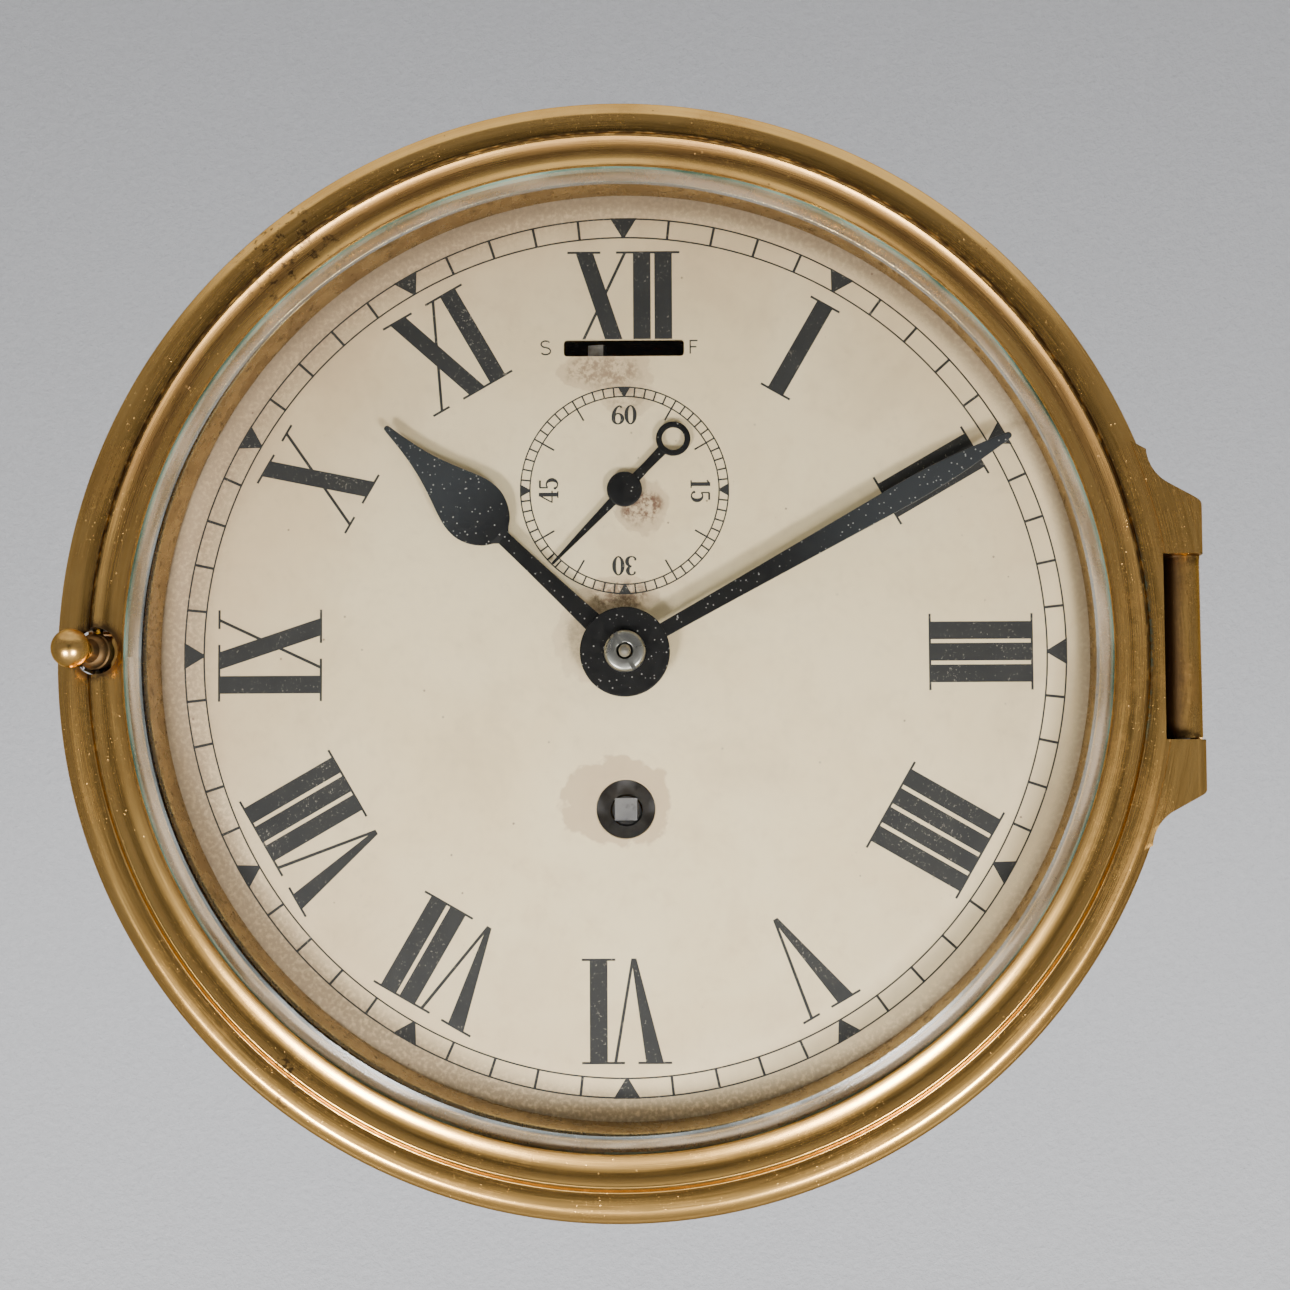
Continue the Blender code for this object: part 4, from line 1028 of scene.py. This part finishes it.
def seconds_dial(ink):
    """The small dial's track, its longer five-second ticks and its four numbers."""
    at = SECONDS[:2]
    track(ink, at, 14.95, 16.65, 0.22, 0.26, (0, 15, 30, 45), 1.05)
    for second in range(0, 60, 5):
        if second % 15:
            ink.pen([around(at, second * 6.0, 0.0, along) for along in (12.9, 15.0)], 0.28)
    high = 3.1
    for text, angle in (("60", 0.0), ("15", 90.0), ("30", 180.0), ("45", 270.0)):
        for i, digit in enumerate(text):
            middle_u = (i - 0.5) * high * 0.66
            for points, widths, closed in digit_strokes(digit):
                widths = [w * high for w in widths] if isinstance(widths, list) else widths * high
                placed = [around(at, angle, middle_u + x * high, 12.1 + y * high) for x, y in points]
                ink.pen(placed, widths, closed)


def regulator_letters(ink):
    """Slow and fast, in thin sans capitals beside the slot."""
    y = SLOT_Y + 0.1
    x = -12.5
    upper = ellipse((x, y + 0.55), 0.72, 0.52, 30, 270, 12)
    lower = ellipse((x, y - 0.57), 0.78, 0.56, 80, -150, 12)
    ink.pen(upper + lower, 0.24)
    x = 11.2
    ink.pen([(x - 0.6, y - 1.1), (x - 0.6, y + 1.1)], 0.22)
    ink.pen([(x - 0.6, y + 1.0), (x + 0.6, y + 1.0)], 0.22)
    ink.pen([(x - 0.6, y), (x + 0.4, y)], 0.22)


def dial_print(material):
    ink = Print()
    track(ink, CENTRE, TRACK_IN, TRACK_OUT, 0.26, 0.42, range(0, 60, 5), 2.15)
    hour_numerals(ink)
    seconds_dial(ink)
    regulator_letters(ink)
    bmesh.ops.recalc_face_normals(ink.bm, faces=ink.bm.faces)
    piece("dial_print", ink.bm, material, "case")


# ---- hands ----

def eased(pairs, steps=6):
    """Smooths (distance, half width) pairs with a curve through every one of them."""
    result = []
    for i in range(len(pairs) - 1):
        p0 = Vector(pairs[max(i - 1, 0)])
        p1 = Vector(pairs[i])
        p2 = Vector(pairs[i + 1])
        p3 = Vector(pairs[min(i + 2, len(pairs) - 1)])
        for s in range(steps):
            t = s / steps
            point = 0.5 * ((2 * p1) + (p2 - p0) * t + (2 * p0 - 5 * p1 + 4 * p2 - p3) * t * t
                           + (3 * p1 - p0 - 3 * p2 + p3) * t ** 3)
            result.append((point.x, max(point.y, 0.05)))
    return result + [tuple(pairs[-1])]


def blade(pairs, angle, z0, z1, at=CENTRE, edge=0.12):
    """A flat hand from (distance, half width) pairs, with broken edges."""
    right = [around(at, angle, half, along) for along, half in pairs]
    left = [around(at, angle, -half, along) for along, half in reversed(pairs)]
    return bevelled(prism(right + left, z0, z1), edge, 2, 50.0)


def tip(along, size):
    """A round tip that ends a blade at the given distance."""
    return [(along - size + size * math.sin(math.radians(a)), size * math.cos(math.radians(a)))
            for a in (25, 45, 65, 82)]


def joined(*shapes):
    return combined(shapes[0], *[("UNION", bm) for bm in shapes[1:]])


def boss(inner, outer, z0, z1, at=CENTRE, steps=128, reach=0.2):
    return turned(softened(band_of(inner, outer, z0, z1), reach), at, steps)


def hour_hand(black):
    """A spade hand: a slim stem, a bulb and a fine tip."""
    z0, z1 = depth("hour_hand")
    stem = [(5.5, 1.65), (10.0, 1.50), (15.0, 1.35), (22.0, 1.20), (26.4, 1.15)]
    bulb = [(27.0, 1.75), (28.0, 3.1), (29.5, 4.25), (31.2, 4.98), (32.8, 5.2), (34.6, 5.02), (36.6, 4.42),
            (39.2, 3.42), (42.0, 2.42), (45.0, 1.60), (48.0, 1.02), (50.6, 0.66), (51.6, 0.55)]
    outline = stem[:-1] + eased([stem[-1]] + bulb) + tip(52.4, 0.5)
    hand = joined(boss(2.6, 6.9, z0, z1), blade(outline, HOUR_ANGLE, z0 + 0.08, z1 - 0.08))
    piece("hour_spade", hand, black, "hour", ["hour_hand"])


def minute_hand(black):
    z0, z1 = depth("minute_hand")
    arm = [(5.5, 1.15), (20.0, 1.35), (40.0, 1.72), (50.0, 1.90), (55.0, 1.86), (60.0, 1.62), (65.0, 1.12),
           (69.0, 0.66)]
    outline = eased(arm) + tip(70.1, 0.55)
    hand = joined(boss(1.3, 7.1, z0, z1), blade(outline, MINUTE_ANGLE, z0 + 0.08, z1 - 0.08))
    piece("minute_pointer", hand, black, "centre", ["minute_hand"])


def seconds_hand(black):
    """A pointer with a ringed tail."""
    z0, z1 = depth("seconds_hand")
    at = SECONDS[:2]
    thin0, thin1 = z0 + 0.06, z0 + 0.44
    pointer = blade([(1.5, 0.75), (9.0, 0.50), (14.0, 0.30)] + tip(16.5, 0.24), SECONDS_ANGLE, thin0, thin1,
                    at, 0.06)
    tail = blade([(1.5, 0.8), (5.0, 0.72), (9.0, 0.82)], SECONDS_ANGLE + 180.0, thin0, thin1, at, 0.06)
    eye_at = around(at, SECONDS_ANGLE + 180.0, 0.0, 11.2)
    eye = boss(1.8, 2.75, thin0 - 0.03, thin1 + 0.03, eye_at, 72, 0.12)
    hand = joined(boss(0, 2.8, z0, z1, at, 96), pointer, tail, eye)
    piece("seconds_pointer", hand, black, "fourth", ["seconds_hand"])


def hand_nut(brass):
    """The slotted nut that holds the minute hand."""
    z0, z1 = depth("hand_nut")
    size = radius("hand_nut")
    profile = [(1.3, z0), (size, z0), (size, z0 + 0.7)] + arc((size - 0.75, z0 + 0.95), 0.75, 0.0, 75.0, 6)
    slot = box((-4.0, 4.0), (-0.35, 0.35), (z1 - 0.5, 66.0))
    slot.transform(Matrix.Rotation(math.radians(-62.0), 4, "Z"))
    nut = cut(turned(softened(profile + [(1.3, z1)], 0.15), steps=96), slot)
    piece("centre_nut", nut, brass, "centre", ["hand_nut"])


# ---- the movement's own nodes ----

def finish_frame_nodes(plate, steel, bright):
    """The CAD nodes that keep their shape get a real finish and broken edges."""
    slots = {row["node"]: row["material_slot"] for row in RECORD["subparts"]}
    looks = {"brass_plate": plate, "steel": steel, "brass_bright": bright}
    for name, obj in frame["nodes"].items():
        look = looks.get(slots.get(name))
        if look is None:
            continue
        if not obj.data.materials:
            obj.data.materials.append(look)
        for i in range(len(obj.data.materials)):
            obj.data.materials[i] = look
    for name, width in (("winding_arbor", 0.12), ("regulator_index", 0.10), ("latch_pin", 0.10)):
        edge = frame["nodes"][name].modifiers.new("broken_edges", "BEVEL")
        edge.width = width * MM
        edge.segments = 2
        edge.limit_method = "ANGLE"
        edge.angle_limit = math.radians(50.0)


# ---- studio ----

def studio_wall():
    """One pale sweep: floor, curve and wall all round, far from the clock."""
    floor_z = -0.75
    wall_r = 2.6
    bend = 0.7
    profile = ([(0.0, floor_z)] + arc((wall_r - bend, floor_z + bend), bend, -90.0, 0.0, 16)
               + [(wall_r, 2.4)])
    steps = 96
    bm = bmesh.new()
    rows = []
    for r, z in profile:
        rows.append([bm.verts.new((r * math.cos(math.tau * i / steps), r * math.sin(math.tau * i / steps), z))
                     for i in range(steps)])
    for low, high in zip(rows, rows[1:]):
        for i in range(steps):
            j = (i + 1) % steps
            bm.faces.new((low[i], low[j], high[j], high[i]))
    bmesh.ops.remove_doubles(bm, verts=bm.verts, dist=1e-5)
    mesh = mesh_of("studio_sweep", bm)
    mesh.shade_smooth()
    look = Finish("studio_grey")
    fine = look.noise(0.16, 3.0, rough=0.7)
    grey = look.mix(fine, (0.34, 0.34, 0.35), (0.42, 0.42, 0.43))
    mesh.materials.append(look.done(grey, 0.85, (fine, 2.0)))
    linked("studio_sweep", mesh)


DIAL_AT = (0.0, -0.06, 0.0)     # metres, like all places in the studio
WARM = (1.0, 0.985, 0.96)
KEY_SIZE = (0.28, 0.36)
CAMERA_AT = (0.0070, -0.553, -0.0378)
CAMERA_RIGHT = (1.0, 0.0078, -0.0051)
CAMERA_BACK = (0.0078, -1.0, -0.0791)
LENS = 87.4


def soft_light(name, place, size, power, colour=(1.0, 1.0, 1.0), target=DIAL_AT):
    data = bpy.data.lights.new(name, "AREA")
    data.shape = "RECTANGLE"
    data.size, data.size_y = size
    data.energy = power
    data.color = colour
    obj = linked(name, data)
    obj.location = place
    obj.rotation_euler = (Vector(target) - Vector(place)).to_track_quat("-Z", "Y").to_euler()


def dark_card(name, place, size):
    """A black panel that only reflections see."""
    bm = bmesh.new()
    half_x, half_y = size[0] / 2.0, size[1] / 2.0
    bm.faces.new([bm.verts.new(at) for at in
                  ((-half_x, -half_y, 0), (half_x, -half_y, 0), (half_x, half_y, 0), (-half_x, half_y, 0))])
    mesh = mesh_of(name, bm)
    look = Finish("card_black")
    look.set("Base Color", look.mix(look.noise(0.01), (0.012, 0.011, 0.010), (0.02, 0.018, 0.016)))
    look.set("Roughness", 0.9)
    mesh.materials.append(look.material)
    obj = linked(name, mesh)
    obj.location = place
    aim = Vector(DIAL_AT) - Vector(place)
    obj.rotation_euler = aim.to_track_quat("Z", "Y").to_euler()
    obj.visible_camera = False
    obj.visible_shadow = False
    obj.visible_diffuse = False


def studio_lights():
    soft_light("key_left", (-0.44, -0.95, -0.68), KEY_SIZE, 31.0, WARM)
    soft_light("key_right", (0.46, -0.95, -0.66), KEY_SIZE, 29.0, WARM)
    soft_light("wall_low", (0.0, 1.3, -0.50), (2.2, 0.3), 34.0, target=(0.0, 2.6, -0.40))
    dark_card("camera_gap", (0.0, -1.15, 0.085), (0.50, 0.50))
    world = bpy.context.scene.world or bpy.data.worlds.new("studio_world")
    bpy.context.scene.world = world
    world.use_nodes = True
    back = world.node_tree.nodes["Background"]
    back.inputs["Color"].default_value = (0.95, 0.97, 1.0, 1.0)
    back.inputs["Strength"].default_value = 1.25


def camera():
    """The photographer's place: a little below the clock, looking up into the dial."""
    data = bpy.data.cameras.new("camera")
    data.lens = LENS
    data.sensor_width = 36.0
    data.clip_start = 0.01
    data.clip_end = 20.0
    obj = linked("camera", data)
    right = Vector(CAMERA_RIGHT).normalized()
    back = Vector(CAMERA_BACK).normalized()
    up = back.cross(right).normalized()
    right = up.cross(back).normalized()
    turn = Matrix((right, up, back)).transposed().to_4x4()
    obj.matrix_world = Matrix.Translation(CAMERA_AT) @ turn
    bpy.context.scene.camera = obj


def build():
    bezel_brass = aged_brass("bezel_brass", BEZEL_AT, marks=bezel_marks())
    case_brass = aged_brass("case_brass", CENTRE, tarnish=0.5)
    hinge_brass = aged_brass("hinge_brass", (HINGE[0] - 60.0, 0.0), 0.4, 0.5, knuckle_marks(), 0.20)
    knob_brass = aged_brass("knob_brass", (LATCH[0], 0.0), 0.5, 0.3, knob_marks(), 0.34)
    ring_brass = bright_brass("ring_brass", BEZEL_AT, worn=0.6)
    nut_brass = machined("nut_brass", (0.52, 0.50, 0.42), (0.34, 0.33, 0.26), wear=0.9)
    plate_brass = machined("plate_brass", (0.70, 0.53, 0.25), (0.55, 0.38, 0.15))
    steel = machined("old_steel", (0.52, 0.52, 0.53), (0.36, 0.35, 0.34), rough=(0.28, 0.46))
    case_pieces(case_brass)
    back_cover(case_brass, steel)
    dial_pieces(dial_paint(), ring_brass)
    dial_print(dial_ink())
    bezel_pieces(bezel_brass)
    green = glass_edge("glass_green", (0.028, 0.10, 0.075), (0.25, 0.40, 0.33), (0.40, 0.75))
    milky = glass_edge("glass_bevel", (0.50, 0.38, 0.24), (0.66, 0.53, 0.38), (0.20, 0.38))
    line = glass_edge("glass_line", (0.13, 0.15, 0.15), (0.22, 0.25, 0.25), (0.38, 0.55))
    glass_pieces(clear_glass(), green, milky, line, ring_brass)
    hinge_pieces(hinge_brass, steel)
    latch_pieces(knob_brass)
    hour_hand(hand_black("hour_black", 24.0, 40.0))
    minute_hand(hand_black("minute_black", 22.0, 52.0))
    seconds_hand(hand_black("seconds_black", 90.0, 120.0))
    hand_nut(nut_brass)
    finish_frame_nodes(plate_brass, steel, ring_brass)
    studio_wall()
    studio_lights()
    camera()


build()
